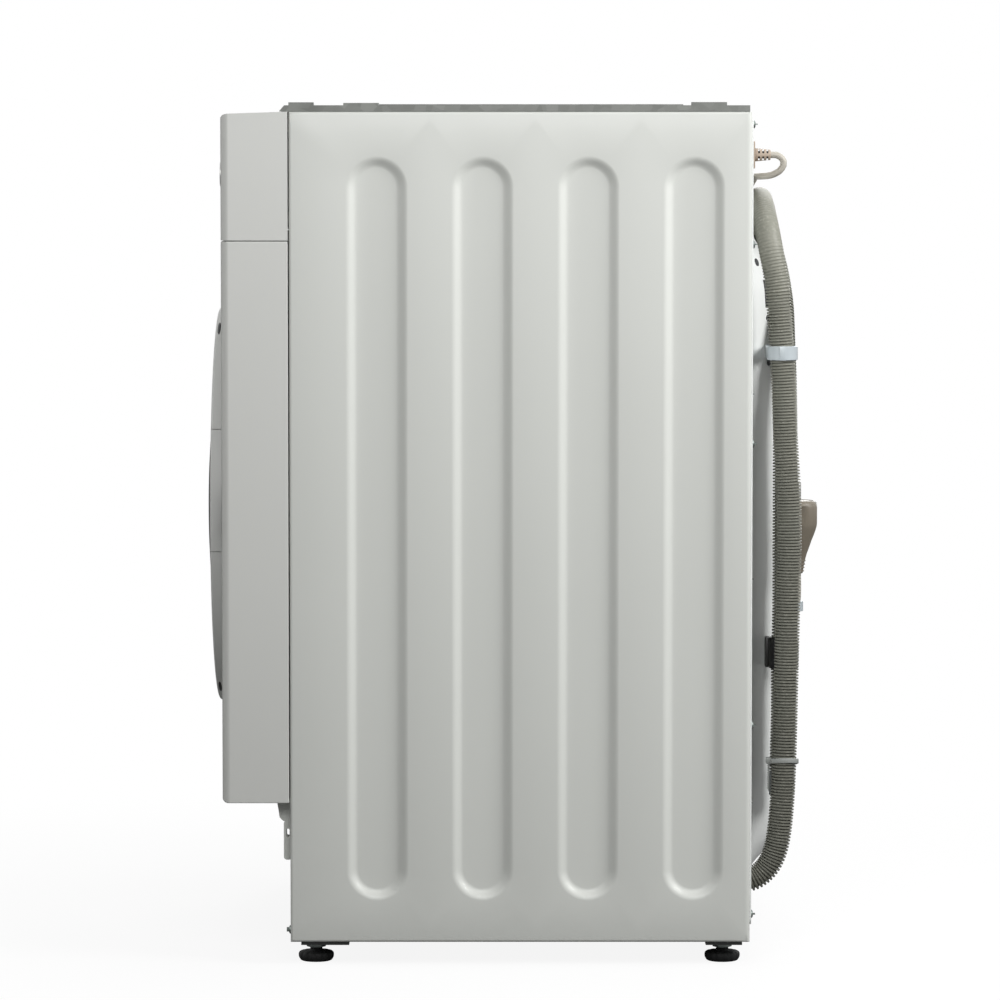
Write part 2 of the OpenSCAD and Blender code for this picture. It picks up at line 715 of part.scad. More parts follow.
// Tub in two halves
flange_r = tub_r + 9;
sump_spout_h = 46;
module tub_front() {
    y0 = tub_y0;
    color("lightslategray") difference() {
        union() {
            turned([
                [neck_r - 5, y0 - 15], [neck_r, y0 - 15], [neck_r, y0], [tub_r - 8, y0],
                [tub_r, y0 + 8], [tub_r, seam_y - 9], [flange_r, seam_y - 9],
                [flange_r, seam_y - 0.5], [tub_r - tub_t, seam_y - 0.5],
                [tub_r - tub_t, y0 + 12], [tub_r - tub_t - 7, y0 + 5], [neck_r - 5, y0 + 5]
            ]);
            translate([outlet_x, outlet_y, 0]) difference() {
                translate([0, 0, axis_z]) cylinder(r = 14, h = tub_port_z(outlet_x) - axis_z + 46);
                translate([-outlet_x, -outlet_y, 0])
                    rod_y(0, axis_z, tub_r - tub_t / 2, y0 - 50, seam_y + 50);
            }
            difference() {
                translate([sump_x, sump_y, tub_under_z(sump_x) - sump_spout_h])
                    cylinder(r = 18, h = 80);
                rod_y(0, axis_z, tub_r - tub_t / 2, y0 - 50, seam_y + 50);
            }
            for (s = [-1, 1]) damper_lug(s * damper_x);
        }
        translate([outlet_x, outlet_y, axis_z + 50]) cylinder(r = 11, h = 300);
        translate([sump_x, sump_y, pump_z]) cylinder(r = 15, h = tub_under_z(sump_x) - pump_z + 60);
    }
}
module damper_lug(x) {
    difference() {
        box(x - 13, x + 13, damper_y - 12, damper_y + 12, damper_top, axis_z - 100);
        rod_y(0, axis_z, tub_r - tub_t / 2, tub_y0 - 50, seam_y + 50);
        box(x - 20, x + 20, damper_y - 30, damper_y + 30, axis_z - 140, axis_z);
    }
}
damper_top = tub_under_z(damper_x + 13) - 26;
module tub_rear() {
    y1 = tub_y1;
    color("lightslategray") difference() {
        union() {
            turned([
                [tub_r - tub_t, seam_y + 0.5], [flange_r, seam_y + 0.5], [flange_r, seam_y + 10],
                [tub_r, seam_y + 10], [tub_r, y1 - 12], [tub_r - 12, y1], [64, y1],
                [46, hub_y1], [36, hub_y1], [36, y1 - 10], [60, y1 - 10], [tub_r - tub_t - 9, y1 - 10],
                [tub_r - tub_t, y1 - 18]
            ]);
            for (a = [0 : 30 : 330])
                translate([0, 0, axis_z]) rotate([0, a, 0])
                    box(60, tub_r - 14, y1 - eps, y1 + 8, -3, 3);
            for (s = [-1, 1]) {
                difference() {
                    box(s * (spring_x - 12) - 20, s * (spring_x - 12) + 20, spring_y - 14,
                        spring_y + 14, spring_z0 - 60, spring_z0);
                    rod_y(0, axis_z, tub_r - tub_t / 2, tub_y0, y1);
                    box(s * (spring_x - 12) - 21, s * (spring_x - 12) + 21, spring_y - 15,
                        spring_y + 15, spring_z0 - 61, spring_z0 - 10);
                }
                difference() {
                    box(s * (spring_x - 34) - 6, s * (spring_x - 34) + 6, spring_y - 14,
                        spring_y + 14, spring_z0 - 60, spring_z0);
                    rod_y(0, axis_z, tub_r - tub_t / 2, tub_y0, y1);
                }
            }
            difference() {
                for (s = [-1, 1])
                    box(motor_x + s * (motor_r + 12) - 5, motor_x + s * (motor_r + 12) + 5,
                        y1 - 84, y1 - 14, motor_z - 12, axis_z - 150);
                rod_y(0, axis_z, tub_r - tub_t / 2, tub_y0, y1);
            }
        }
        for (s = [-1, 1])
            translate([s * spring_x, spring_y, spring_z0 - 40]) cylinder(r = 3, h = 60);
        slab_y(y1 - 20, y1 + 20) round_rect(-38.3, 38.3, heater_z - 9.3, heater_z + 9.3, 5);
    }
}

// Drum with its lifters, spider, shaft and bearings
module drum() {
    inner = drum_r - drum_t;
    color("silver") difference() {
        turned([
            [mouth_r, drum_y0 + 3], [mouth_r + 3, drum_y0], [drum_r - 10, drum_y0],
            [drum_r, drum_y0 + 10], [drum_r, drum_y1], [0, drum_y1], [0, drum_y1 - drum_t],
            [inner, drum_y1 - drum_t], [inner, drum_y0 + 11], [inner - 10, drum_y0 + drum_t],
            [mouth_r + 3, drum_y0 + drum_t], [mouth_r + 1, drum_y0 + 5]
        ]);
        for (a = [20 : 40 : 340], y = [drum_y0 + 50 : 55 : drum_y1 - 30])
            translate([0, y, axis_z]) rotate([0, a, 0]) translate([drum_r - 6, 0, 0])
                rotate([0, 90, 0]) cylinder(r = 2.5, h = 12);
    }
}
module drum_lifters() {
    color("whitesmoke") intersection() {
        for (a = [60, 180, 300]) translate([0, 0, axis_z]) rotate([0, a, 0])
            slab_y(drum_y0 + 22, drum_y1 - 14) polygon([
                [drum_r - 46, -8], [drum_r - 46, 8], [drum_r - 30, 20], [drum_r + 5, 32],
                [drum_r + 5, -32], [drum_r - 30, -20]
            ]);
        rod_y(0, axis_z, drum_r - drum_t - 0.05, drum_y0, drum_y1);
    }
}
module drum_spider() {
    y0 = drum_y1 + 0.1;
    y1 = tub_y1 - 12;
    color("darkgray") {
        for (a = [90, 210, 330]) translate([0, 0, axis_z]) rotate([0, a, 0])
            slab_y(y0, y1) polygon([
                [10, -26], [drum_r - 12, -15], [drum_r - 12, 15], [10, 26]
            ]);
        rod_y(0, axis_z, 34, y0, y1);
        rod_y(0, axis_z, shaft_r, y1 - 1, pulley_y + pulley_w + 6);
    }
}
module drum_bearings() {
    color("dimgray")
        for (y = [tub_y1 - 2, hub_y1 - 11])
            tube_y(0, axis_z, shaft_r + running, 36 - running, y, y + 10);
}
module shaft_seal() {
    color("black") tube_y(0, axis_z, shaft_r + running, 36 - running, tub_y1 - 10, tub_y1 - 3);
}

// Belt drive
module drum_pulley() {
    y0 = pulley_y;
    y1 = pulley_y + pulley_w;
    rim = pulley_r - 1;
    hole_x = (rim + 26) / 2;
    hole_r = (rim - 40) / 4;
    color("silver") difference() {
        turned([
            [shaft_r + running / 2, y0], [30, y0], [30, y0 + 4], [rim - 12, y0 + 4], [rim - 12, y0],
            [rim, y0], [rim, y1], [rim - 12, y1], [rim - 12, y0 + 8], [30, y0 + 8], [30, y1],
            [shaft_r + running / 2, y1]
        ]);
        for (a = [0 : 60 : 300]) translate([0, 0, axis_z]) rotate([0, a, 0])
            rod_y(hole_x, 0, hole_r, y0 - 1, y1 + 1);
    }
}
module motor_pulley() {
    color("darkgray") {
        tube_y(motor_x, motor_z, 5 + running, motor_pulley_r - 1, pulley_y, pulley_y + pulley_w);
        tube_y(motor_x, motor_z, 5 + running, motor_pulley_r + 2, pulley_y + pulley_w,
            pulley_y + pulley_w + 2);
    }
}
// The belt's outline at a distance g from its inner face, as arcs joined by straight runs
function arc_points(x, r, a0, a1, n) = [
    for (i = [0 : n]) let(a = a0 + (a1 - a0) * i / n) [x + r * cos(a), r * sin(a)]
];
module belt_outline(g) {
    d = norm([motor_x, axis_z - motor_z]);
    big = pulley_r - 1 + fit + g;
    small = motor_pulley_r - 1 + fit + g;
    wrap = acos((big - small) / d);
    translate([0, axis_z]) rotate(atan2(motor_z - axis_z, motor_x)) polygon(concat(
        arc_points(0, big, wrap, 360 - wrap, 72),
        arc_points(d, small, -wrap, wrap, 16)
    ));
}
module drive_belt() {
    color("black") slab_y(pulley_y + 1, pulley_y + 1 + belt_w) difference() {
        belt_outline(2.6);
        belt_outline(0);
    }
}
module motor() {
    y1 = tub_y1 - 8;
    y0 = y1 - 105;
    color("slategray") {
        rod_y(motor_x, motor_z, motor_r, y0, y1);
        tube_y(motor_x, motor_z, 0.5, 26, y1, y1 + 8);
        rod_y(motor_x, motor_z, 5, y1, pulley_y + pulley_w + 3);
        for (s = [-1, 1])
            box(motor_x + s * (motor_r + 2) - 5, motor_x + s * (motor_r + 2) + 5,
                y1 - 70, y1 - 10, motor_z - 10, motor_z + 10);
        rod_y(motor_x, motor_z, motor_r - 6, y0 - 6, y0);
    }
}

// Weights that steady the tub
module top_counterweight() {
    color("lightgray") difference() {
        box(160 - tub_r, tub_r - 50, seam_y + 34, tub_y1 - 16, axis_z + tub_r - 105,
            axis_z + tub_r + 52);
        rod_y(0, axis_z, tub_r + 0.2, tub_y0, tub_y1 + 30);
        box(-tub_r, tub_r, seam_y, tub_y1, axis_z, axis_z + tub_r - 65);
    }
}
module front_counterweight() {
    color("lightgray") difference() {
        tube_y(0, axis_z, neck_r + 11, tub_r - 12, tub_y0 - 24, tub_y0 - 0.05);
        slab_y(tub_y0 - 30, tub_y0 + 5) polygon([
            [0, axis_z], [-260, axis_z - 330], [260, axis_z - 330]
        ]);
    }
}

// Suspension: two springs above, two friction dampers below
spring_wire = 1.7;
spring_head_r = 5;
spring_turns = 10;
spring_steps = 8;
spring_lead = 3;

// A spring's path: a straight end, a spiral out, the coil, a spiral in and a straight end
function spring_coil(z0, z1) = let(rings = spring_turns * spring_steps) [
    for (i = [-spring_lead : rings + spring_lead])
        let(
            a = 360 * i / spring_steps,
            r = spring_r * min(1, 1 + i / spring_lead, 1 + (rings - i) / spring_lead)
        )
        [r * cos(a), r * sin(a), z0 + (z1 - z0) * max(0, min(1, i / rings))]
];
module spring(x) {
    z0 = spring_z0 + 10;
    z1 = spring_z1 - 10;
    foot = spring_z0 - 10 - fit;
    head = spring_z1 + 3 + fit;
    coil = spring_coil(z0, z1);
    path = concat(
        [for (z = [foot - 5, foot, foot + 0.1, z0 - 4]) [0, 0, z]],
        coil,
        [for (z = [z1 + 4, head - 0.1, head, head + 5]) [0, 0, z]]
    );
    radii = concat(
        [spring_head_r, spring_head_r, spring_wire, spring_wire],
        [for (p = coil) spring_wire],
        [spring_wire, spring_wire, spring_head_r, spring_head_r]
    );
    sides_to = concat([for (i = [1 : 4]) [0, 1, 0]], [for (p = coil) [0, 0, 1]],
        [for (i = [1 : 4]) [0, 1, 0]]);
    echo("spring's least gap to itself", least_gap(coil, spring_wire, spring_steps - 1));
    translate([x, spring_y, 0]) swept(path, radii, 6, sides_to);
}
module suspension_springs() {
    color("dimgray") for (s = [-1, 1]) spring(s * spring_x);
}
damper_z0 = rail_top;
module damper_cylinders() {
    color("dimgray") for (s = [-1, 1]) translate([s * damper_x, damper_y, 0]) difference() {
        union() {
            translate([0, 0, damper_z0]) cylinder(r = 11, h = damper_top - damper_z0 - 55);
            translate([0, 0, damper_z0]) cylinder(r = 13, h = 8);
        }
        translate([0, 0, damper_z0 + 10]) cylinder(r = 5.35, h = 300);
    }
}
module damper_rods() {
    color("silver") for (s = [-1, 1]) translate([s * damper_x, damper_y, 0]) {
        translate([0, 0, damper_z0 + 26]) cylinder(r = 5, h = damper_top - damper_z0 - 26);
        translate([0, 0, damper_top - 12]) cylinder(r = 9, h = 12);
    }
}

// Door gasket: a bellows from the collar of the frame to the neck of the tub
gasket_y0 = y_frame - 12;
module door_gasket() {
    y0 = gasket_y0;
    y1 = tub_y0 - 14;
    color("gray") turned([
        [bowl_r + 0.4, y0 + 1], [collar_r - 5, y0 - 2], [collar_r + 3.5, y0 - 2],
        [collar_r + 3.5, y0 + 8], [collar_r + 0.3, y0 + 8], [collar_r + 0.3, y0 + 1],
        [collar_r - 2.3, y0 + 1], [collar_r - 2.3, y0 + 9], [collar_r - 5, y0 + 13],
        [neck_r + 4, y0 + 14], [neck_r + 4, y1 + 8], [neck_r + 0.3, y1 + 8],
        [neck_r + 0.3, y1 - 2], [neck_r - 9, y1 - 3], [neck_r - 12, y0 + 12],
        [neck_r - 6, y0 + 8], [collar_r - 6, y0 + 4], [bowl_r + 6, y0 + 5]
    ]);
}
module gasket_clamp() {
    color("silver") {
        tube_y(0, axis_z, collar_r + 3.6, collar_r + 6, gasket_y0 + 1, gasket_y0 + 6);
        box(-8, 8, gasket_y0 + 1, gasket_y0 + 6, axis_z - collar_r - 13, axis_z - collar_r - 5.8);
    }
}

// Door
module ring_profile(r0, r1, t) {
    steps = 6;
    polygon(concat(
        [for (i = [0 : steps]) let(r = r0 + (r1 - 3 - r0) * i / steps) [r, ring_y(r)]],
        [[r1 - 1, ring_y(r1) + 0.9], [r1, ring_y(r1) + 3], [r1, ring_back]],
        [[r0, ring_back]]
    ));
}
module door_ring_solid() {
    translate([0, 0, axis_z]) rotate([-90, 0, 0]) rotate_extrude()
        ring_profile(window_r + 0.4, door_r, 3);
}
module handle_zone(g) {
    box(handle_x + g, door_r + 10, y_door - 5, y_fascia, handle_z0 + g, handle_z1 - g);
}
module door_outer_ring() {
    color("white") difference() {
        door_ring_solid();
        turned([
            [window_r + 4, ring_y(window_r) + 4], [door_r - 3.5, ring_y(door_r) + 5],
            [door_r - 3.5, ring_back + 1], [window_r + 4, ring_back + 1]
        ]);
        handle_zone(0);
        box(-door_r - 5, -door_r + 12, ring_back - 4.4, ring_back + 1, axis_z - 30.5, axis_z + 30.5);
    }
    color("white") for (a = [30 : 45 : 300])
        translate([0, 0, axis_z]) rotate([0, a, 0])
            rod_y(window_r + 9 + 48, 0, 3.5, ring_y(door_r) + 2.2, ring_back);
}
module door_window() {
    dome_steps = 6;
    step = window_r / dome_steps;
    color([0.12, 0.12, 0.13]) turned([
        for (i = [0 : dome_steps]) [i * step, ring_y(i * step)],
        for (i = [dome_steps : -1 : 0]) [i * step, ring_y(i * step) + 3.4]
    ]);
}
module door_inner_ring() {
    y0 = ring_back + fit;
    color("whitesmoke") difference() {
        turned([
            [bowl_r + 4.3, y0], [door_r - 8, y0], [door_r - 8, y0 + 2], [bowl_r + 23, y0 + 2],
            [bowl_r + 22, y_fascia + 30], [bowl_r + 19, y_fascia + 44],
            [bowl_r + 4.3, y_fascia + 46]
        ]);
        box(hook_x - 2.5, door_r + 5, y0 - 1, y0 + 5, axis_z - 12, axis_z + 12);
        turned([
            [bowl_r + 8, y0 + 2.5], [bowl_r + 20, y0 + 2.5], [bowl_r + 18, y_fascia + 40],
            [bowl_r + 8, y_fascia + 42]
        ]);
    }
}
module door_glass() {
    y0 = ring_back - 4;
    y2 = y_fascia + 118;
    r2 = bowl_r - 40;
    color([0.75, 0.82, 0.85, 0.5]) turned([
        [window_r + 6, y0 + fit], [bowl_r + 22, y0 + fit], [bowl_r + 22, y0 + 4],
        [bowl_r + 4, y0 + 4.2], [bowl_r, y_fascia + 50], [bowl_r - 10, y_fascia + 72],
        [r2 + 6, y2 - 14], [r2 - 8, y2 - 3], [r2 - 30, y2], [0, y2 + 2], [0, y2 - 3],
        [r2 - 31, y2 - 5], [r2 - 11, y2 - 8], [r2 + 2, y2 - 17],
        [bowl_r - 15, y_fascia + 70], [bowl_r - 5, y_fascia + 48], [bowl_r - 1, y0 + 5],
        [window_r + 6, y0 + 4]
    ]);
}
module hinge_bracket() {
    color("silver") {
        for (s = [-1, 1]) difference() {
            union() {
                box(hinge_x - 7, hinge_x + 3, hinge_y, y_fascia + 12,
                    axis_z + s * 34 - 4, axis_z + s * 34 + 4);
                translate([hinge_x, hinge_y, axis_z + s * 34 - 4]) cylinder(r = 5.5, h = 8);
            }
            translate([hinge_x, hinge_y, axis_z + s * 34 - 10]) cylinder(r = 3, h = 20);
        }
        translate([hinge_x, hinge_y, axis_z - 39]) cylinder(r = 3 - running, h = 78);
        difference() {
            box(hinge_x - 7, hinge_x + 3, y_fascia + 12, y_frame - fit, axis_z - 40, axis_z + 40);
            box(hinge_x - 1, hinge_x + 4, y_fascia + 15, y_frame - 4, axis_z - 36, axis_z + 36);
            rod_y(0, axis_z, collar_r + 7, y_frame - 20, y_frame + 5);
        }
    }
}
module hinge_arm() {
    color("silver") difference() {
        union() {
            translate([hinge_x, hinge_y, axis_z - 29.5]) cylinder(r = 5.2, h = 59);
            box(hinge_x, hinge_x + 26, ring_back - 4, ring_back, axis_z - 29.5, axis_z + 29.5);
        }
        translate([hinge_x, hinge_y, axis_z - 50]) cylinder(r = 3, h = 100);
    }
}
module door_handle() {
    color("white") {
        difference() {
            intersection() {
                door_ring_solid();
                handle_zone(0.6);
            }
            turned([
                [handle_x + 4, ring_y(handle_x) + 4], [door_r - 3, ring_y(door_r) + 6],
                [door_r - 3, ring_back + 2], [handle_x + 4, ring_back + 2]
            ]);
            box(0, door_r + 5, y_fascia - 5, y_fascia + 2, handle_z0 - 5, handle_z1 + 5);
            box(0, handle_x + 12, y_fascia - 9, y_fascia, handle_z0 - 5, handle_z1 + 5);
        }
        box(hook_x, hook_x + 4, ring_y(hook_x) + 2, y_fascia + 24, axis_z - 10, axis_z + 10);
        box(hook_x, hook_x + 11, y_fascia + 20, y_fascia + 24, axis_z - 10, axis_z + 10);
    }
}
module door_lock() {
    x0 = hook_x - 1;
    x1 = hook_x + 35;
    y0 = y_fascia + moulding_t;
    color("dimgray") difference() {
        box(x0, x1, y0, y0 + 36, axis_z - 32, axis_z + 32);
        box(x0 - 1, x1 - 4, y0 - 1, y0 + 28, axis_z - 14, axis_z + 14);
    }
}

// Drain pump, filter and hoses
pump_y0 = y_frame + 3;
module drain_pump() {
    color("whitesmoke") {
        difference() {
            union() {
                rod_y(pump_x, pump_z, pump_r, pump_y0, pump_y0 + 92);
                rod_y(pump_x, pump_z, 27, pump_y0 + 92, pump_y0 + 138);
                translate([sump_x, sump_y, pump_z]) cylinder(r = 18, h = 54);
                box(pump_x + 20, hose_exit_x - 2, pump_y0 + 70, pump_y0 + 86,
                    hose_exit_z - 10, hose_exit_z + 10);
                rod_y(hose_exit_x - 12, hose_exit_z, 9, pump_y0 + 70, pump_y0 + 110);
            }
            rod_y(pump_x, pump_z, 28, pump_y0 - 1, pump_y0 + 80);
            translate([sump_x, sump_y, pump_z]) cylinder(r = 15, h = 70);
            rod_y(hose_exit_x - 12, hose_exit_z, 6.5, pump_y0 + 76, pump_y0 + 120);
        }
        box(pump_x - 24, pump_x + 24, y_frame + 10, y_frame + 56, rail_top, pump_z - pump_r + 6);
    }
}
module pump_filter() {
    color("royalblue") difference() {
        union() {
            rod_y(pump_x, pump_z, 28 - running, pump_y0 + 2, pump_y0 + 62);
            rod_y(pump_x, pump_z, 29.5, y_frame - 4, pump_y0 - 0.2);
            rod_y(pump_x, pump_z, 26, pump_y0 - 0.2, pump_y0 + 2);
        }
        for (a = [0 : 45 : 315]) translate([pump_x, 0, pump_z]) rotate([0, a, 0])
            box(12, 40, pump_y0 + 20, pump_y0 + 56, -5, 5);
        for (s = [-1, 1])
            box(pump_x + s * 13 - 8, pump_x + s * 13 + 8, y_frame - 5, y_frame + 1,
                pump_z - 24, pump_z + 24);
    }
}
module sump_hose() {
    z0 = pump_neck_z;
    z1 = tub_under_z(sump_x - 24) - 12;
    rib = (z1 - z0) / 7;
    color("black") translate([sump_x, sump_y, 0]) rotate_extrude() polygon(concat(
        [[18.3, z0], [21, z0]],
        [for (i = [1 : 6]) each [[21, z0 + rib * (i - 0.4)], [24, z0 + rib * i],
            [21, z0 + rib * (i + 0.4)]]],
        [[21, z1], [18.3, z1]]
    ));
}

// The routes of the drain hose and the lead are given for these sizes, and placed for others
route_exit_x = 217;
route_relief_x = 272.5;
route_foot = 22;
route_top = 816;
route_frame_y = -213;
route_back_y = 228.5;
route_bulge = 38;
rear_shift = y_back - route_back_y + bulge_out - route_bulge;
exit_shift = hose_exit_x - route_exit_x;
top_shift = panel_top - route_top;
function placed_x(x) = x + (x > 250 ? relief_x - route_relief_x
    : x > 100 ? exit_shift
    : x < -200 ? -exit_shift : 0);
function placed_y(y) = y + (y < 200 ? y_frame - route_frame_y
    : y < 235 ? y_back - route_back_y : rear_shift);
function placed_z(z) = z + (z > 560 ? top_shift : z < 150 ? panel_foot - route_foot : 0);
function placed(route) = [for (p = route) [placed_x(p[0]), placed_y(p[1]), placed_z(p[2])]];

// The drain hose: out of the base, up the back, over, and down again beside itself
hose_route = placed([
    [205, -100, 70], [205, -60, 70], [205, 0, 70], [206, 60, 70], [208, 120, 70], [212, 170, 70],
    [216, 205, 70], [217, 226, 70.5], [217, 240, 76], [217, 251, 89], [217, 258, 111],
    [217, 262, 150], [217, 264, 200], [217, 265, 250], [217, 266, 300], [217, 267, 350],
    [217, 268, 400], [217, 267, 450], [217, 264, 500], [217, 262, 550], [217, 259, 600],
    [217, 255, 650], [214, 249, 685], [202, 245, 708], [179, 242.5, 724], [150, 241.5, 731],
    [128, 242, 727], [117, 244.5, 711], [121, 250.5, 691], [138, 258, 662], [157, 262.5, 629],
    [173, 263.5, 594], [184, 264.5, 555], [189, 265, 515], [190, 265, 460], [190, 265, 400], [190, 265, 340], [190, 264, 280],
    [190, 264, 230], [190, 263, 190], [190, 263, 165]
]);
hose_out = 7;
hose_ribs = 165;
rib_depth = 1.6;
module drain_hose() {
    last = len(hose_route) - 1;
    plain = 12;
    smooth = [for (i = [0 : plain - 1]) spline_at(hose_route, hose_out * i / plain)];
    ribbed = [for (i = [0 : 2 * hose_ribs])
        spline_at(hose_route, hose_out + (last - hose_out) * i / (2 * hose_ribs))];
    core_n = 76;
    core = [for (i = [0 : core_n]) spline_at(hose_route, last * i / core_n)];
    echo("drain hose's least gap to itself", least_gap(core, hose_r, 8));
    color([0.52, 0.52, 0.47]) swept_hollow(
        concat(smooth, ribbed),
        concat([for (i = smooth) hose_r], [for (i = [0 : 2 * hose_ribs])
            i % 2 == 0 || i > 2 * hose_ribs - 4 ? hose_r : hose_r - rib_depth]),
        core, hose_r - rib_depth - 1.4, 8, [1, -1, 0.2]
    );
}

// Clips and ties that hold the hose and the lead on the back
clip_z = placed_z(577);
lead_z = placed_z(738.5);
black_clip_z = 275.5;
tie_z = 182.5;
band_play = 0.9;
clip_arm_y = placed_y(246.3);
module slab_z(z0, z1) { translate([0, 0, z0]) linear_extrude(z1 - z0) children(); }
run_x = placed_x(190);
module tie_outline(r) {
    y = placed_y(263.2);
    translate([hose_exit_x, y + 0.8]) circle(r);
    translate([run_x, y]) circle(r);
    translate([run_x, y - r]) square([hose_exit_x - run_x, 2 * r]);
}
// A saddle over the lead, seated on a face at y, across or along
module lead_saddle(x, y, z, upright) {
    depth = 2 * cord_r + 3;
    difference() {
        box(x - 6, x + 6, y, y + depth, z - 6, z + 6);
        translate([x, y + cord_r + 0.8, z]) rotate([0, upright ? 0 : 90, 0])
            cylinder(r = cord_r + 0.6, h = 20, center = true);
    }
}
// A ring round the hose, on an arm that ends on the rear cover's flank
module clip_on_flank(x, y, ring_w, arm_end, z, h) {
    difference() {
        union() {
            tube_z(x, y, hose_r + band_play, hose_r + ring_w, z, z + h);
            difference() {
                box(run_x - 40, arm_end, clip_arm_y, clip_arm_y + 4.2, z, z + h);
                translate([x, y, z - 1]) cylinder(r = hose_r + band_play + 0.5, h = h + 2);
            }
        }
        bulge_form(0, y_back + 0.2);
    }
}
module rear_clips() {
    color("lightgray") clip_on_flank(hose_exit_x, placed_y(260.6), 2.9, hose_exit_x - 7, clip_z, 13.5);
    color("black") clip_on_flank(run_x, placed_y(264.2), 2.7, run_x, black_clip_z, 30);
    color("whitesmoke") difference() {
        slab_z(tie_z, tie_z + 4) tie_outline(hose_r + 2.2);
        slab_z(tie_z - 1, tie_z + 5) tie_outline(hose_r + fit);
    }
    color("lightgray") {
        for (x = [60, -110]) lead_saddle(x, y_back, lead_z, false);
        for (z = [600, 420]) lead_saddle(placed_x(-234), y_back, placed_z(z), true);
        lead_saddle(-60, placed_y(263.3), 226, false);
        box(44, 50, placed_y(266.8), placed_y(280), 318, 328);
        tube_z(47, placed_y(284.8), cord_r + 1, cord_r + 3, 318, 328);
    }
}

// Mains lead with its strain relief and plug
module cord_strain_relief() {
    color([0.73, 0.68, 0.62]) difference() {
        union() {
            rod_y(relief_x, relief_z, 6.2, y_rear - 6, y_back);
            slab_y(y_back, y_back + 2)
                round_rect(relief_x - 10, relief_x + 10, relief_z - 13, relief_z + 13, 4);
            translate([relief_x, y_back + 2, relief_z]) rotate([-90, 0, 0])
                cylinder(r1 = 6.2, r2 = 5, h = 15);
        }
        rod_y(relief_x, relief_z, cord_r + running, y_rear - 10, y_back + 30);
        for (i = [0 : 2], s = [-1, 1])
            box(relief_x - 10, relief_x + 10, y_back + 5 + i * 4, y_back + 6.6 + i * 4,
                relief_z + s * 5 - 1.2, relief_z + s * 5 + 1.2);
    }
}
cord_route = placed([
    [272.5, 224, 775], [272.5, 246, 775], [272.5, 252, 774.5], [272, 257, 771], [271.5, 258, 765.5],
    [270.5, 254, 759.5], [267, 246, 755.5], [258, 237, 754.5], [240, 233, 754], [200, 232.5, 750],
    [60, 232.5, 738.5], [-110, 232.5, 738.5], [-180, 232.5, 734], [-220, 232.5, 712],
    [-234, 232.5, 670], [-234, 232.5, 600], [-234, 232.5, 420], [-234, 232.5, 300],
    [-228, 236, 258], [-205, 246, 236], [-170, 261, 228], [-120, 266, 226], [-60, 267.3, 226],
    [0, 267.5, 228], [30, 269, 236], [44, 272, 254], [47, 277, 280], [47, 283, 310],
    [47, 286, 332], [47, 286, 356]
]);
module power_cord() {
    last = len(cord_route) - 1;
    n = 79;
    path = [for (i = [0 : n]) spline_at(cord_route, last * i / n)];
    color([0.7, 0.69, 0.66]) swept(path, [for (p = path) cord_r], 8, [1, -1, 0.35]);
}
module power_plug() {
    color([0.58, 0.55, 0.49]) translate([47, total_d / 2 - 19, 0]) rotate_extrude() polygon([
        [0, 356], [5, 356], [7, 366], [9, 376], [11.5, 384], [18, 400], [19, 405], [19, 423],
        [17.5, 427.5], [15.5, 429], [0, 429]
    ]);
    color("silver") for (s = [-1, 1])
        translate([47 + s * 9.5, total_d / 2 - 19, 429]) {
            cylinder(r = 2.4, h = 17);
            translate([0, 0, 17]) cylinder(r1 = 2.4, r2 = 1.4, h = 2);
        }
}

// Feet, locknuts, heater and screws
module levelling_feet() {
    color([0.1, 0.1, 0.1]) for (s = [-1, 1], y = [foot_y_front, foot_y_rear])
        translate([s * foot_x, y, 0]) {
            cylinder(r = pad_r, h = pad_h);
            translate([0, 0, pad_h]) cylinder(r1 = pad_r, r2 = pad_r - 6, h = 4);
            cylinder(r = stud_r, h = rail_top - 4);
        }
}
module foot_locknuts() {
    color([0.35, 0.4, 0.38]) for (s = [-1, 1], y = [foot_y_front, foot_y_rear])
        translate([s * foot_x, y, rail_z - 5.2]) difference() {
            cylinder(r = 9.5, h = 5.2, $fn = 6);
            translate([0, 0, -1]) cylinder(r = stud_r + running, h = 8, $fn = 48);
        }
}
heater_z = axis_z - (drum_r + tub_r - tub_t) / 2;
module heater() {
    y0 = tub_y1 - 150;
    y1 = tub_y1 - 10;
    color("silver") {
        slab_y(y1 - 1, tub_y1 + 3) round_rect(-38, 38, heater_z - 9, heater_z + 9, 4.7);
        for (s = [-1, 1]) {
            rod_y(s * 24, heater_z, 3.5, y0, y1 - 1);
            rod_y(s * 24, heater_z, 3, tub_y1 + 3, tub_y1 + 14);
        }
        translate([0, y0, heater_z]) difference() {
            rotate_extrude() translate([24, 0]) circle(3.5);
            box(-40, 40, 0, 40, -10, 10);
        }
    }
}
module screws() {
    color("silver") {
        for (s = [-1, 1], z = [panel_foot + 26, panel_foot + 208, panel_top - 316,
                panel_top - 126, panel_top - 12])
            rod_y(s * (half_w - 10), z, 4, y_back, y_back + 2);
        for (s = [-1, 1]) rod_y(s * (half_w - 10), panel_foot + 11, 4.2, y_frame - 3, y_frame);
        for (s = [-1, 1], z = [bulge_z0 + 100, axis_z - 60, axis_z + 120])
            rod_y(s * (bulge_half_w - 4.5), z, 3.6, y_back + sheet_t, y_back + sheet_t + 2);
    }
}

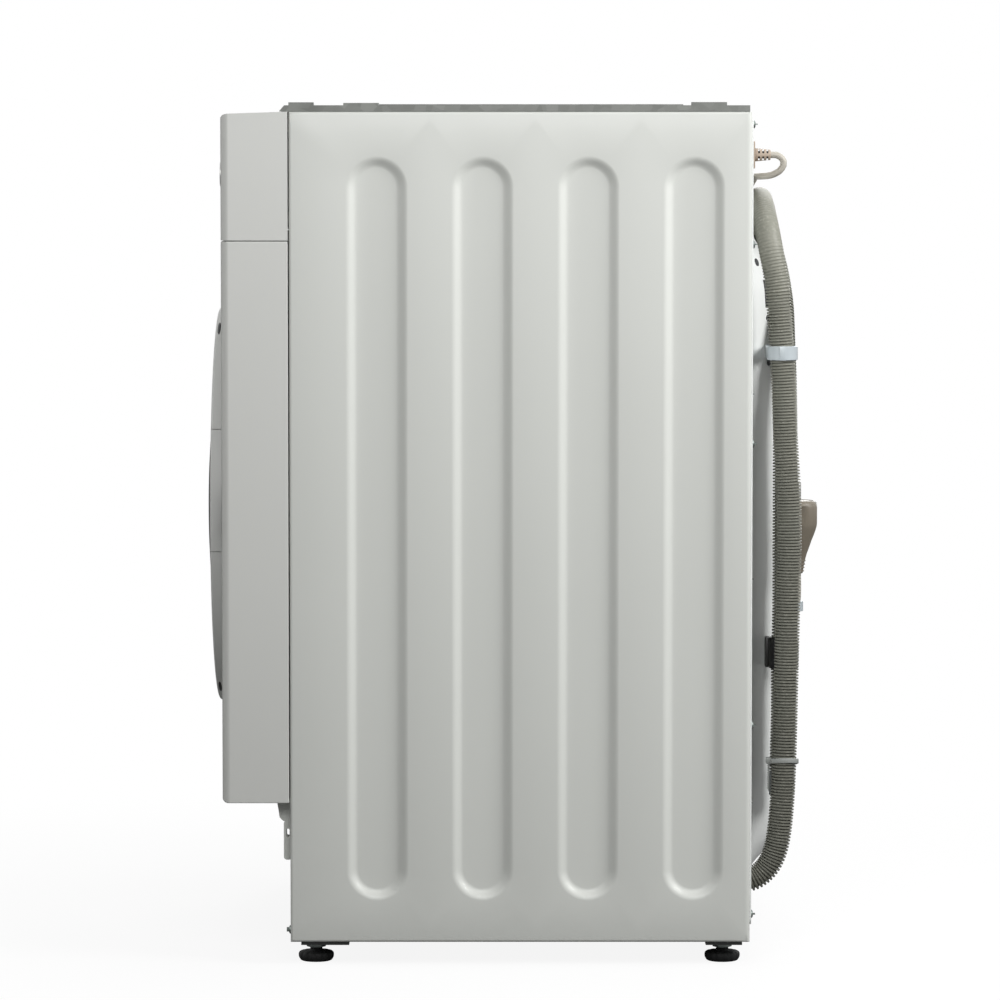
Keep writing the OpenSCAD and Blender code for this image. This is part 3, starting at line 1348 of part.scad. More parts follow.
side_panel_right();
side_panel_left();
rear_panel();
rear_cover();
top_cover();
front_frame();
base_rails();
front_panel();
control_panel();
display_window();
programme_knob();
start_button();
option_button_1();
option_button_2();
option_button_3();
detergent_drawer();
drawer_siphon();
drawer_housing();
inlet_valve();
fill_hose();
dispenser_hose();
tub_front();
tub_rear();
drum();
drum_lifters();
drum_spider();
drum_bearings();
shaft_seal();
drum_pulley();
drive_belt();
motor();
motor_pulley();
top_counterweight();
front_counterweight();
suspension_springs();
damper_cylinders();
damper_rods();
door_gasket();
gasket_clamp();
door_outer_ring();
door_window();
door_inner_ring();
door_glass();
hinge_bracket();
hinge_arm();
door_handle();
door_lock();
drain_pump();
pump_filter();
sump_hose();
drain_hose();
rear_clips();
cord_strain_relief();
power_cord();
power_plug();
levelling_feet();
foot_locknuts();
heater();
control_board();
screws();
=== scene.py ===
# Looks of a built-in washing machine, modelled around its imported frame
import json
import math

import bpy
from mathutils import Matrix, Vector

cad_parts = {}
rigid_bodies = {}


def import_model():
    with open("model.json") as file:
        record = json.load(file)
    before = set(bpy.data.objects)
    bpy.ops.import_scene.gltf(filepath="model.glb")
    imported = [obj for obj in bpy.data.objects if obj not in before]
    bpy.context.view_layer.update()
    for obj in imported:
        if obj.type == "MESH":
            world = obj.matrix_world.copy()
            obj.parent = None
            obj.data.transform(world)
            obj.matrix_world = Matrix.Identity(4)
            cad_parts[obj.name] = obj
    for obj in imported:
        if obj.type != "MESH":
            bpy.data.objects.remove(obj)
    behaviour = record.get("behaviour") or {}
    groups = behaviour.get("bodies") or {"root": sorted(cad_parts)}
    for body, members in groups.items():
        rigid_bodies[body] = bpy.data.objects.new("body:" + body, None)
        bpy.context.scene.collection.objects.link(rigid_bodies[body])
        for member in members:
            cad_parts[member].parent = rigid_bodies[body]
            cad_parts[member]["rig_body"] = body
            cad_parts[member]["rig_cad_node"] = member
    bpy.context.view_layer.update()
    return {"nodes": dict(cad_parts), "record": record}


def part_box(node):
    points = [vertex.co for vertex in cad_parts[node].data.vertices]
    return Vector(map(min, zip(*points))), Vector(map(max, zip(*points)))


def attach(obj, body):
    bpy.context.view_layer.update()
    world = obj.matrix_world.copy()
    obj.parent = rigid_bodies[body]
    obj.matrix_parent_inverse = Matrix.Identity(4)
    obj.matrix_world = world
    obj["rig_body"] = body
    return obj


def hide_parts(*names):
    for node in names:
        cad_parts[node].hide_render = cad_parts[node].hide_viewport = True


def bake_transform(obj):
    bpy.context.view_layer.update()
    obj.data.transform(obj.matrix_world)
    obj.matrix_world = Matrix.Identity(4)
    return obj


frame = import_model()
nodes = frame["nodes"]
body_of_node = {n: b for b, ns in frame["record"]["behaviour"]["bodies"].items() for n in ns}
slot_of_node = {s["node"]: s["material_slot"] for s in frame["record"]["subparts"]}
mm = 0.001


# Helpers for modelling
def at(x, y, z):
    """A point given in millimetres"""
    return Vector((x * mm, y * mm, z * mm))


def clear_selection():
    if bpy.context.mode != "OBJECT":
        bpy.ops.object.mode_set(mode="OBJECT")
    bpy.ops.object.select_all(action="DESELECT")


def only(piece):
    clear_selection()
    piece.select_set(True)
    bpy.context.view_layer.objects.active = piece


def named(name):
    """Names the primitive just added and puts its place in its mesh"""
    piece = bpy.context.view_layer.objects.active
    piece.name = name
    piece.data.name = name
    bpy.ops.object.transform_apply(location=True, rotation=True, scale=True)
    return piece


def edit(piece):
    only(piece)
    bpy.ops.object.mode_set(mode="EDIT")
    bpy.ops.mesh.select_all(action="SELECT")


def done():
    bpy.ops.object.mode_set(mode="OBJECT")


def tidy_normals(piece):
    """Merges points that coincide and turns all faces outwards"""
    edit(piece)
    bpy.ops.mesh.remove_doubles(threshold=0.01 * mm)
    bpy.ops.mesh.normals_make_consistent(inside=False)
    done()
    return piece


def modify(piece, kind, **settings):
    """Adds a modifier and applies it"""
    only(piece)
    modifier = piece.modifiers.new(kind.lower(), kind)
    for name, value in settings.items():
        setattr(modifier, name, value)
    bpy.ops.object.modifier_apply(modifier=modifier.name)
    return piece


SHARP = 35


def bevel(piece, width, segments=2):
    """Rounds off the edges that are sharper than SHARP degrees"""
    return modify(piece, "BEVEL", width=width * mm, segments=segments, limit_method="ANGLE",
                  angle_limit=math.radians(SHARP), miter_outer="MITER_ARC")


def smooth(piece, angle=SHARP):
    """Shades smooth, apart from edges sharper than the angle"""
    only(piece)
    bpy.ops.object.shade_smooth_by_angle(angle=math.radians(angle))
    return piece


def cut(piece, *tools):
    """Takes the tools' space out of a piece"""
    for tool in tools:
        modify(piece, "BOOLEAN", operation="DIFFERENCE", object=tool, solver="EXACT")
        bpy.data.objects.remove(tool)
    return piece


def joined(name, pieces):
    clear_selection()
    for piece in pieces:
        piece.select_set(True)
    bpy.context.view_layer.objects.active = pieces[0]
    if len(pieces) > 1:
        bpy.ops.object.join()
    pieces[0].name = name
    pieces[0].data.name = name
    return pieces[0]


def mirrored(piece, name):
    """The piece's mirror image across the machine's middle plane"""
    twin = piece.copy()
    twin.data = piece.data.copy()
    bpy.context.scene.collection.objects.link(twin)
    twin.name = name
    twin.data.name = name
    twin.data.transform(Matrix.Scale(-1, 4, (1, 0, 0)))
    edit(twin)
    bpy.ops.mesh.flip_normals()
    done()
    return twin


def block(name, low, high, round_off=0, segments=2):
    """A box between two corners, its edges rounded off"""
    low, high = Vector(low), Vector(high)
    clear_selection()
    bpy.ops.mesh.primitive_cube_add(size=1, location=(low + high) / 2, scale=high - low)
    piece = named(name)
    return bevel(piece, round_off, segments) if round_off else piece


def rod(name, start, end, radius, vertices=48, round_off=0, segments=2, tip=None):
    """A round bar or cone between two points"""
    start, end = Vector(start), Vector(end)
    turn = (end - start).to_track_quat("Z", "Y").to_euler()
    clear_selection()
    bpy.ops.mesh.primitive_cone_add(
        vertices=vertices, radius1=radius * mm, radius2=(radius if tip is None else tip) * mm,
        depth=(end - start).length, location=(start + end) / 2, rotation=turn)
    piece = named(name)
    return bevel(piece, round_off, segments) if round_off else piece


def lathe(name, profile, centre, axis="Y", steps=96):
    """A round piece spun from a profile of radius and distance along its axis, in millimetres"""
    along = Vector((0, 1, 0)) if axis == "Y" else Vector((0, 0, 1))
    centre = Vector(centre)
    mesh = bpy.data.meshes.new(name)
    points = [centre + Vector((r * mm, 0, 0)) + along * (d * mm) for r, d in profile]
    mesh.from_pydata(points, [(i, i + 1) for i in range(len(points) - 1)], [])
    piece = bpy.data.objects.new(name, mesh)
    bpy.context.scene.collection.objects.link(piece)
    edit(piece)
    bpy.ops.mesh.spin(steps=steps, angle=2 * math.pi, center=centre, axis=along)
    done()
    return tidy_normals(piece)


def spline_at(points, u):
    """A point on the smooth curve through listed points"""
    last = len(points) - 1
    i = min(last - 1, int(u))
    t = u - i
    a, b, c, d = (points[max(0, min(last, i + k))] for k in (-1, 0, 1, 2))
    return 0.5 * (2 * b + (c - a) * t + (2 * a - 5 * b + 4 * c - d) * t ** 2
                  + (3 * b - 3 * c + d - a) * t ** 3)


def lengths_along(points):
    total = [0]
    for a, b in zip(points, points[1:]):
        total.append(total[-1] + (b - a).length)
    return total


def tube(name, path, radii, sides):
    """A closed tube along a path, its sides kept from twisting"""
    start = (path[1] - path[0]).normalized()
    across = Vector((1, 0, 0)) if abs(start.x) < 0.9 else Vector((0, 1, 0))
    points, faces = [], []
    for i, p in enumerate(path):
        ahead = (path[min(len(path) - 1, i + 1)] - path[max(0, i - 1)]).normalized()
        across = (across - ahead * across.dot(ahead)).normalized()
        over = ahead.cross(across)
        for k in range(sides):
            turn = 2 * math.pi * k / sides
            points.append(p + radii[i] * (across * math.cos(turn) + over * math.sin(turn)))
    for i in range(len(path) - 1):
        for k in range(sides):
            a, b = i * sides + k, i * sides + (k + 1) % sides
            faces.append((a, b, b + sides, a + sides))
    faces.append(tuple(range(sides))[::-1])
    faces.append(tuple(range(len(points) - sides, len(points))))
    mesh = bpy.data.meshes.new(name)
    mesh.from_pydata(points, [], faces)
    piece = bpy.data.objects.new(name, mesh)
    bpy.context.scene.collection.objects.link(piece)
    return piece


# Helpers for materials
class Value:
    """A socket in a material, with arithmetic that adds Math nodes"""

    def __init__(self, finish, socket):
        self.finish = finish
        self.socket = socket

    def math(self, operation, other):
        return self.finish.node("ShaderNodeMath", {"operation": operation}, {0: self, 1: other})

    def __add__(self, other):
        return self.math("ADD", other)

    def __sub__(self, other):
        return self.math("SUBTRACT", other)

    def __rsub__(self, other):
        return self * -1 + other

    def __mul__(self, other):
        return self.math("MULTIPLY", other)

    def within(self, low, high):
        """0 below low, 1 above high and a straight rise between"""
        return self.finish.node("ShaderNodeMapRange", {}, {
            "Value": self, "From Min": low, "From Max": high})

    __radd__ = __add__
    __rmul__ = __mul__


class Finish:
    """One material, whose parameters come from nodes on the piece's own coordinates"""

    def __init__(self, name, colour, rough=0.5, metallic=0.0, coat=0.0, specular=0.5):
        self.material = bpy.data.materials.new(name)
        self.material.use_nodes = True
        self.tree = self.material.node_tree
        self.shader = self.tree.nodes["Principled BSDF"]
        self.colour = colour
        self.rough = rough
        self.base = None
        self.set("Base Color", colour)
        self.set("Roughness", rough)
        self.set("Metallic", metallic)
        self.set("Coat Weight", coat)
        self.set("Specular IOR Level", specular)
        self.heights = []

    def set(self, socket, value):
        target = self.shader.inputs[socket]
        if isinstance(value, Value):
            self.tree.links.new(value.socket, target)
        elif hasattr(value, "__len__"):
            target.default_value = (*value[:3], 1)
        else:
            target.default_value = value

    def node(self, kind, settings, values, out=0):
        node = self.tree.nodes.new(kind)
        for name, value in settings.items():
            setattr(node, name, value)
        for name, value in values.items():
            if isinstance(value, Value):
                self.tree.links.new(value.socket, node.inputs[name])
            else:
                node.inputs[name].default_value = value
        return Value(self, node.outputs[out])

    def place(self, stretch=(1, 1, 1)):
        """The piece's own coordinates, stretched"""
        spot = self.node("ShaderNodeTexCoord", {}, {}, "Object")
        return self.node("ShaderNodeVectorMath", {"operation": "MULTIPLY"}, {0: spot, 1: stretch})

    def part(self, vector, axis):
        return self.node("ShaderNodeSeparateXYZ", {}, {0: vector}, axis)

    def noise(self, scale, detail=3.0, stretch=(1, 1, 1)):
        return self.node("ShaderNodeTexNoise", {}, {
            "Vector": self.place(stretch), "Scale": scale, "Detail": detail})

    def cells(self, scale, out="Distance"):
        return self.node("ShaderNodeTexVoronoi", {}, {"Vector": self.place(), "Scale": scale}, out)

    def tint(self, mask, colour):
        """Colours the base where the mask is"""
        self.base = self.node("ShaderNodeMix", {"data_type": "RGBA"}, {
            "Factor": mask, 6: self.base or (*self.colour, 1), 7: (*colour, 1)}, 2)
        self.set("Base Color", self.base)
        return self

    def roughen(self, mask, amount):
        self.set("Roughness", mask * amount + (self.rough - amount / 2))
        return self

    def bump(self, height, depth):
        """Raises the surface by a height from 0 to 1, depth in millimetres"""
        self.heights.append(height * (depth * mm))
        return self

    def made(self):
        if self.heights:
            total = self.heights[0]
            for height in self.heights[1:]:
                total = total + height
            self.set("Normal", self.node("ShaderNodeBump", {}, {
                "Strength": 1.0, "Distance": 1.0, "Height": total}))
        return self.material


def tone(red, green, blue):
    """A colour given as it looks on a screen, from 0 to 255"""
    return tuple((c / 255 / 12.92 if c < 10.3 else ((c / 255 + 0.055) / 1.055) ** 2.4)
                 for c in (red, green, blue))


def darker(colour, share):
    return tuple(c * share for c in colour)


# Finishes
def enamel(name, colour, rough=0.42, peel=0.004):
    """Satin powder paint: a faint orange peel and hardly visible clouds of tone"""
    f = Finish(name, colour, rough, coat=0.06)
    f.tint(f.noise(7, 4).within(0.35, 0.75) * 0.35, darker(colour, 0.965))
    f.bump(f.noise(420, 2), peel)
    f.roughen(f.noise(60, 3), 0.08)
    return f.made()


def moulding(name, colour, rough=0.45, grain=0.006, scale=2600):
    """Moulded plastic with a fine eroded grain"""
    f = Finish(name, colour, rough)
    f.tint(f.noise(5, 3).within(0.3, 0.8) * 0.5, darker(colour, 0.955))
    f.bump(f.cells(scale), grain)
    f.roughen(f.noise(90, 3), 0.1)
    return f.made()


def galvanised(name, colour):
    """Hot-dip zinc with its flat crystal flakes, some dust and fine rolling marks"""
    f = Finish(name, colour, 0.7, metallic=0.3, specular=0.25)
    flakes = f.node("ShaderNodeSeparateColor", {}, {0: f.cells(95, out="Color")}, 0)
    f.tint(flakes.within(0.0, 1.0) * 0.5, darker(colour, 0.72))
    f.tint(f.noise(26, 4).within(0.52, 0.8) * 0.5, darker(colour, 0.55))
    f.bump(f.noise(90, 3, (1, 14, 1)), 0.01)
    f.roughen(flakes, 0.16)
    return f.made()


def rolled_steel(name, colour, rough=0.32, stretch=(1, 30, 1), metallic=1.0):
    """Metal with fine lines from rolling or brushing"""
    f = Finish(name, colour, rough, metallic=metallic)
    lines = f.noise(160, 3, stretch)
    f.tint(lines.within(0.3, 0.7) * 0.35, darker(colour, 0.78))
    f.bump(lines, 0.004)
    f.roughen(f.noise(45, 4, stretch), 0.14)
    return f.made()


def cast_metal(name, colour, rough=0.5):
    f = Finish(name, colour, rough, metallic=0.9)
    f.tint(f.noise(70, 5).within(0.4, 0.75) * 0.5, darker(colour, 0.7))
    f.bump(f.noise(700, 4), 0.05)
    return f.made()


def concrete(name, colour):
    """Cast concrete: sand grains, pores and damp clouds"""
    f = Finish(name, colour, 0.92)
    f.tint(f.noise(12, 5).within(0.35, 0.7) * 0.6, darker(colour, 0.78))
    pores = 1 - f.cells(230).within(0.0, 0.12)
    f.tint(pores * 0.8, darker(colour, 0.35))
    f.bump(f.noise(900, 3), 0.15)
    f.bump(1 - pores, 0.5)
    return f.made()


def rubber(name, colour, rough):
    """Rubber with a dry bloom and a fine skin"""
    f = Finish(name, colour, rough, specular=0.35)
    f.tint(f.noise(38, 5).within(0.45, 0.8) * 0.4, tuple(c * 0.8 + 0.008 for c in colour))
    f.bump(f.noise(1500, 2), 0.02)
    f.roughen(f.noise(80, 4), 0.16)
    return f.made()


def clear_glass(name, colour):
    f = Finish(name, colour, 0.04)
    f.set("Transmission Weight", 1.0)
    f.set("IOR", 1.45)
    f.roughen(f.noise(30, 4), 0.04)
    return f.made()


def gloss(name, colour):
    """Polished plastic with a hint of wipe marks"""
    f = Finish(name, colour, 0.12, coat=0.3)
    f.tint(f.noise(9, 4).within(0.45, 0.8) * 0.3, darker(colour, 0.85))
    f.roughen(f.noise(14, 5, (1, 1, 4)), 0.08)
    return f.made()


def ribbed_hose(name, colour):
    """Olive-grey plastic hose, duller and dustier in places, with painted shade that darkens it
    towards the floor
    """
    f = Finish(name, colour, 0.5)
    height = f.part(f.place(), 2)
    # painted shade: the hose's colour darkens towards the floor, where less light reaches it
    f.tint((1 - height.within(0.1, 0.72)) * 0.75, darker(colour, 0.42))
    f.tint(f.noise(14, 5).within(0.4, 0.75) * 0.7, darker(colour, 0.7))
    f.tint(f.noise(300, 3).within(0.55, 0.8) * 0.35, tone(196, 194, 182))
    f.bump(f.noise(1200, 2), 0.02)
    f.roughen(f.noise(50, 4), 0.2)
    return f.made()


PAINT = tone(214, 216, 211)
FINISHES = {
    "white_paint": enamel("powder_paint", PAINT),
    # painted light: the rear cover's paint is whiter than the sides' to stand in for light on its
    # shaded flank
    "white_rear": enamel("gloss_rear_paint_painted_light", tone(234, 236, 234), 0.3, 0.006),
    "white_plastic": moulding("front_moulding", tone(211, 212, 208)),
    "galvanised": galvanised("galvanised_sheet", tone(138, 140, 136)),
    "dark_steel": rolled_steel("dark_coated_steel", tone(62, 63, 62), 0.5, (1, 6, 1), 0.6),
    "bare_steel": rolled_steel("bright_steel", tone(196, 196, 194)),
    "zinc": cast_metal("zinc_plating", tone(140, 148, 144), 0.36),
    "stainless": rolled_steel("stainless_sheet", tone(208, 208, 206), 0.22),
    "cast_aluminium": cast_metal("cast_aluminium", tone(186, 187, 190)),
    "tub_plastic": moulding("tub_plastic", tone(150, 158, 165), 0.6, 0.02, 900),
    "dark_plastic": moulding("dark_plastic", tone(40, 41, 43), 0.5),
    "smoked_plastic": gloss("smoked_plastic", tone(22, 23, 26)),
    "blue_plastic": moulding("blue_plastic", tone(58, 100, 170), 0.35),
    "glass": clear_glass("door_glass_clear", (0.86, 0.91, 0.91)),
    "grey_rubber": rubber("grey_rubber", tone(128, 131, 132), 0.55),
    "black_rubber": rubber("black_rubber", tone(14, 15, 15), 0.75),
    "hose_plastic": ribbed_hose("hose_plastic", tone(136, 136, 125)),
    "clip_plastic": moulding("clip_plastic", tone(186, 194, 198), 0.3, 0.003),
    "lead_plastic": moulding("lead_plastic", tone(182, 177, 166), 0.45, 0.01, 1400),
    "plug_plastic": moulding("plug_plastic", tone(122, 114, 101), 0.45, 0.01, 1400),
    "board_green": moulding("circuit_board", tone(40, 100, 66), 0.35),
    "concrete": concrete("cast_concrete", tone(170, 170, 164)),
}
TIE_GREY = moulding("cable_tie_nylon", tone(150, 153, 150), 0.4, 0.003)
# painted light: the door ring and handle moulding is whiter than the front moulding, standing in
# for light on the shaded ring
DOOR_WHITE_PAINTED_LIGHT = moulding("door_moulding_painted_light", tone(236, 237, 234), 0.4)
BLACK_CLIP = moulding("black_clip_plastic", tone(30, 30, 30), 0.35)
RELIEF = moulding("strain_relief_plastic", tone(172, 156, 140), 0.5, 0.01, 1400)


def dress(piece, material):
    piece.data.materials.clear()
    piece.data.materials.append(material)
    return piece


def bends_for(piece, node, start, end):
    """Puts a soft piece in a node's place, in the node's finish, with its place baked into its mesh
    """
    dress(piece, FINISHES[slot_of_node[node]])
    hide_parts(node)
    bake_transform(piece)


def stands_for(piece, node, material=None):
    """Puts a finished piece in a CAD node's place"""
    dress(piece, material or FINISHES[slot_of_node[node]])
    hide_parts(node)
    belongs(piece, node)


def belongs(piece, node, material=None):
    """Makes a finished piece move with a node's body, with that node's finish"""
    if material or not piece.data.materials:
        dress(piece, material or FINISHES[slot_of_node[node]])
    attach(piece, body_of_node[node])


def rounded(node, width, material=None):
    """A node's own shape with its sharp edges rounded off, as moulded and folded pieces are"""
    piece = nodes[node].copy()
    piece.data = nodes[node].data.copy()
    piece.parent = None
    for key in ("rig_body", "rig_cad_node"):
        del piece[key]
    bpy.context.scene.collection.objects.link(piece)
    piece.name = node + "_shell"
    edit(piece)
    bpy.ops.mesh.customdata_custom_splitnormals_clear()
    bpy.ops.mesh.remove_doubles(threshold=0.02 * mm)
    bpy.ops.mesh.dissolve_limited(angle_limit=math.radians(0.5))
    done()
    bevel(piece, width)
    smooth(piece)
    modify(piece, "WEIGHTED_NORMAL", keep_sharp=True)
    stands_for(piece, node, material)


# Camera, lamps, world and floor
side_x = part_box("side_panel_right")[1].x
CAMERA_AIM = Vector((side_x, -0.0123, 0.4469))
CAMERA_REACH = Vector((4.99, 0, 0.349))


def set_camera():
    """The photograph's view: square to the side, five metres off and four degrees down"""
    data = bpy.data.cameras.new("camera")
    data.lens = 189
    data.sensor_width = 36
    camera = bpy.data.objects.new("camera", data)
    camera.location = CAMERA_AIM + CAMERA_REACH
    camera.rotation_euler = (-CAMERA_REACH).to_track_quat("-Z", "Y").to_euler()
    bpy.context.scene.collection.objects.link(camera)
    bpy.context.scene.camera = camera


def add_lamp(name, spot, aim, size, power):
    data = bpy.data.lights.new(name, "AREA")
    data.shape = "RECTANGLE"
    data.size, data.size_y = size
    data.energy = power
    lamp = bpy.data.objects.new(name, data)
    lamp.location = spot
    lamp.rotation_euler = (Vector(aim) - Vector(spot)).to_track_quat("-Z", "Y").to_euler()
    bpy.context.scene.collection.objects.link(lamp)


def set_world(level):
    """Soft grey light all round, and a white background for the camera, metal and glass"""
    world = bpy.data.worlds.new("studio")
    bpy.context.scene.world = world
    world.use_nodes = True
    tree = world.node_tree
    light = tree.nodes["Background"]
    light.inputs["Color"].default_value = (1, 1, 1, 1)
    light.inputs["Strength"].default_value = level
    white = tree.nodes.new("ShaderNodeBackground")
    white.inputs["Color"].default_value = (1, 1, 1, 1)
    ray = tree.nodes.new("ShaderNodeLightPath")
    seen, glassy = (tree.nodes.new("ShaderNodeMath") for _ in range(2))
    seen.operation = glassy.operation = "MAXIMUM"
    mix = tree.nodes.new("ShaderNodeMixShader")
    tree.links.new(ray.outputs["Is Glossy Ray"], glassy.inputs[0])
    tree.links.new(ray.outputs["Is Transmission Ray"], glassy.inputs[1])
    tree.links.new(ray.outputs["Is Camera Ray"], seen.inputs[0])
    tree.links.new(glassy.outputs[0], seen.inputs[1])
    tree.links.new(seen.outputs[0], mix.inputs[0])
    tree.links.new(light.outputs[0], mix.inputs[1])
    tree.links.new(white.outputs[0], mix.inputs[2])
    tree.links.new(mix.outputs[0], tree.nodes["World Output"].inputs["Surface"])


# To the camera the floor glows by the share FLOOR_GLOW as far as FLOOR_NEAR, wholly from FLOOR_FAR
FLOOR_NEAR, FLOOR_FAR, FLOOR_GLOW = 0.45, 1.1, 0.9
FLOOR_SEEN = (0.9, 0.9, 0.9)
FLOOR_BOUNCE = (0.12, 0.12, 0.12)


def set_floor():
    """A pale floor that the camera sees almost white, with the machine's shadow kept"""
    clear_selection()
    bpy.ops.mesh.primitive_plane_add(size=30)
    floor = named("floor")
    finish = Finish("studio_floor", FLOOR_BOUNCE, 0.9)
    seen = finish.node("ShaderNodeLightPath", {}, {}, "Is Camera Ray")
    finish.tint(seen, FLOOR_SEEN)
    away = finish.node("ShaderNodeVectorMath", {"operation": "LENGTH"},
                       {0: finish.place((1, 1, 0))}, 1)
    share = seen * (away.within(FLOOR_NEAR, FLOOR_FAR) * (1 - FLOOR_GLOW) + FLOOR_GLOW)
    paint = Value(finish, finish.shader.outputs[0])
    glow = finish.node("ShaderNodeEmission", {}, {})
    both = finish.node("ShaderNodeMixShader", {}, {0: share, 1: paint, 2: glow})
    surface = finish.tree.nodes["Material Output"].inputs["Surface"]
    finish.tree.links.new(both.socket, surface)
    dress(floor, finish.material)


bpy.context.scene.view_settings.view_transform = "Standard"
set_camera()
set_world(level=0.12)
set_floor()
side_middle = (side_x, 0, 0.55)
add_lamp("key", (1.0, 1.7, 1.5), side_middle, (0.9, 0.9), 36)
add_lamp("near_fill", (1.7, -0.05, 1.25), side_middle, (0.8, 0.8), 12.5)
add_lamp("front_fill", (-0.2, -3.2, 1.6), (0, -0.2, 0.45), (2.2, 1.6), 20)
add_lamp("left_fill", (-3.2, 0.6, 1.8), (0, 0, 0.45), (2, 1.6), 60)
add_lamp("top", (-0.4, 0.4, 3.4), (0, 0, 0.8), (1.8, 1.8), 18)

# Where the frame says things are
panel_low, panel_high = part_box("side_panel_right")
y_front, y_rear = panel_low.y, panel_high.y
panel_foot, panel_top = panel_low.z, panel_high.z
SHEET = 1.5 * mm
y_back = y_rear + SHEET
SPRING_X = 262
AXIS_HEIGHT = 423
drum_axis = Vector((0, 0, AXIS_HEIGHT * mm))

# Side panels: one pressed sheet each, with folded edges and four rounded channels
CHANNELS = 4
CHANNEL_PITCH = 100.6 * mm
CHANNEL_SHIFT = 14.4 * mm
CHANNEL_HALF = 30 * mm
CHANNEL_LOW = panel_foot + 40 * mm + CHANNEL_HALF
CHANNEL_HIGH = panel_top - 42 * mm - CHANNEL_HALF
HALF_ARC = 32
WALL_STEPS = [(1.4, 0.14), (1.5, 0.46), (1.5, 0.82), (1.5, 1.08), (1.5, 1.08), (1.4, 0.82),
              (1.4, 0.46), (1.4, 0.14)]
FOLD = 2.6 * mm
REAR_FOLD = 5 * mm
FOLD_STEPS = 6
FLANGE = 15 * mm


def sheet_with_channels():
    """A flat sheet with its channels pressed in, each ringed by quads as far as its share of it"""
    low_y, high_y = y_front + FOLD, y_rear - REAR_FOLD
    low_z, high_z = panel_foot + FOLD, panel_top - FOLD
    points, faces = [], []
    for index in range(CHANNELS):
        middle_y = ((y_front + y_rear) / 2 + CHANNEL_SHIFT
                    + (index - (CHANNELS - 1) / 2) * CHANNEL_PITCH)
        left = CHANNEL_PITCH / 2 if index else middle_y - low_y
        right = CHANNEL_PITCH / 2 if index < CHANNELS - 1 else high_y - middle_y
        rings = [(0, 0)]
        for inset, depth in WALL_STEPS:
            rings.append((rings[-1][0] + inset * mm, rings[-1][1] + depth * mm))
        first = len(points)
        for upper in (True, False):
            centre_z = CHANNEL_HIGH if upper else CHANNEL_LOW
            reach = (high_z - centre_z) if upper else (centre_z - low_z)
            sign = 1 if upper else -1
            sides = (right, left) if upper else (left, right)
            corner = [round(math.atan2(reach, side) / math.pi * HALF_ARC) for side in sides]
            for k in range(HALF_ARC + 1):
                turn = math.pi * k / HALF_ARC
                c, s = math.cos(turn), math.sin(turn)
                side = sides[0] if c >= 0 else sides[1]
                on_side = k <= corner[0] if c >= 0 else HALF_ARC - k <= corner[1]
                if k == corner[0] or HALF_ARC - k == corner[1]:
                    edge = (math.copysign(side, c), reach)
                elif on_side:
                    edge = (math.copysign(side, c), side * s / max(abs(c), 1e-6))
                else:
                    edge = (reach * c / s, reach)
                points.append((side_x, middle_y + edge[0] * sign, centre_z + edge[1] * sign))
                for inset, depth in rings:
                    r = CHANNEL_HALF - inset
                    points.append((side_x - depth, middle_y + r * c * sign,
                                   centre_z + r * s * sign))
        rows = len(rings) + 1
        around = 2 * HALF_ARC + 2
        for k in range(around):
            a, b = first + k * rows, first + (k + 1) % around * rows
            for j in range(rows - 1):
                faces.append((a + j, b + j, b + j + 1, a + j + 1))
        faces.append(tuple(first + k * rows + rows - 1 for k in range(around)))
    mesh = bpy.data.meshes.new("side_sheet")
    mesh.from_pydata(points, [], faces)
    sheet = bpy.data.objects.new("side_sheet", mesh)
    bpy.context.scene.collection.objects.link(sheet)
    return tidy_normals(sheet)


def fold_edges(sheet):
    """Rolls the sheet's four edges round and back into flanges"""
    low_y, high_y = y_front + FOLD, y_rear - REAR_FOLD
    low_z, high_z = panel_foot + FOLD, panel_top - FOLD
    turns = [math.pi / 2 * i / FOLD_STEPS for i in range(1, FOLD_STEPS + 1)]
    steps = [(math.sin(turn), 1 - math.cos(turn)) for turn in turns]
    edit(sheet)
    bpy.ops.mesh.select_mode(type="EDGE")
    bpy.ops.mesh.select_all(action="DESELECT")
    bpy.ops.mesh.select_non_manifold()
    last = (0, 0)
    for out, back in steps + [(1, 1 + FLANGE / FOLD)]:
        bpy.ops.mesh.extrude_region_move()
        bpy.ops.object.mode_set(mode="OBJECT")
        step_out, step_back = out - last[0], back - last[1]
        for v in (v for v in sheet.data.vertices if v.select):
            if v.co.y < low_y + 0.01 * mm:
                v.co.y -= step_out * FOLD
            elif v.co.y > high_y - 0.01 * mm:
                v.co.y += step_out * REAR_FOLD
            if v.co.z < low_z + 0.01 * mm:
                v.co.z -= step_out * FOLD
            elif v.co.z > high_z - 0.01 * mm:
                v.co.z += step_out * FOLD
            v.co.x -= step_back * FOLD
        last = (out, back)
        bpy.ops.object.mode_set(mode="EDIT")
    done()
    return tidy_normals(sheet)


def spring_bracket(sheet):
    """The folded bracket that carries a suspension spring, welded to the sheet"""
    x0, x1, y, z, half = 248, side_x / mm - SHEET / mm, 38, 782, 15
    base = block("bracket", at(x0, y - half, z), at(x1, y + half, z + 3), 0.8)
    hole = rod("hole", at(SPRING_X, y, z - 1), at(SPRING_X, y, z + 5), 3, 24)
    walls = [block("bracket_wall", at(x0, wall_y - 1, z), at(x1, wall_y + 1, z + 22), 0.6)
             for wall_y in (y - half, y + half)]
    return joined("side_panel_right_skin", [sheet, cut(base, hole), *walls])


def make_side_panels():
    sheet = fold_edges(sheet_with_channels())
    modify(sheet, "SOLIDIFY", thickness=SHEET, offset=-1, use_even_offset=True)
    right = smooth(spring_bracket(sheet), 40)
    left = mirrored(right, "side_panel_left_skin")
    stands_for(right, "side_panel_right")
    stands_for(left, "side_panel_left")


make_side_panels()

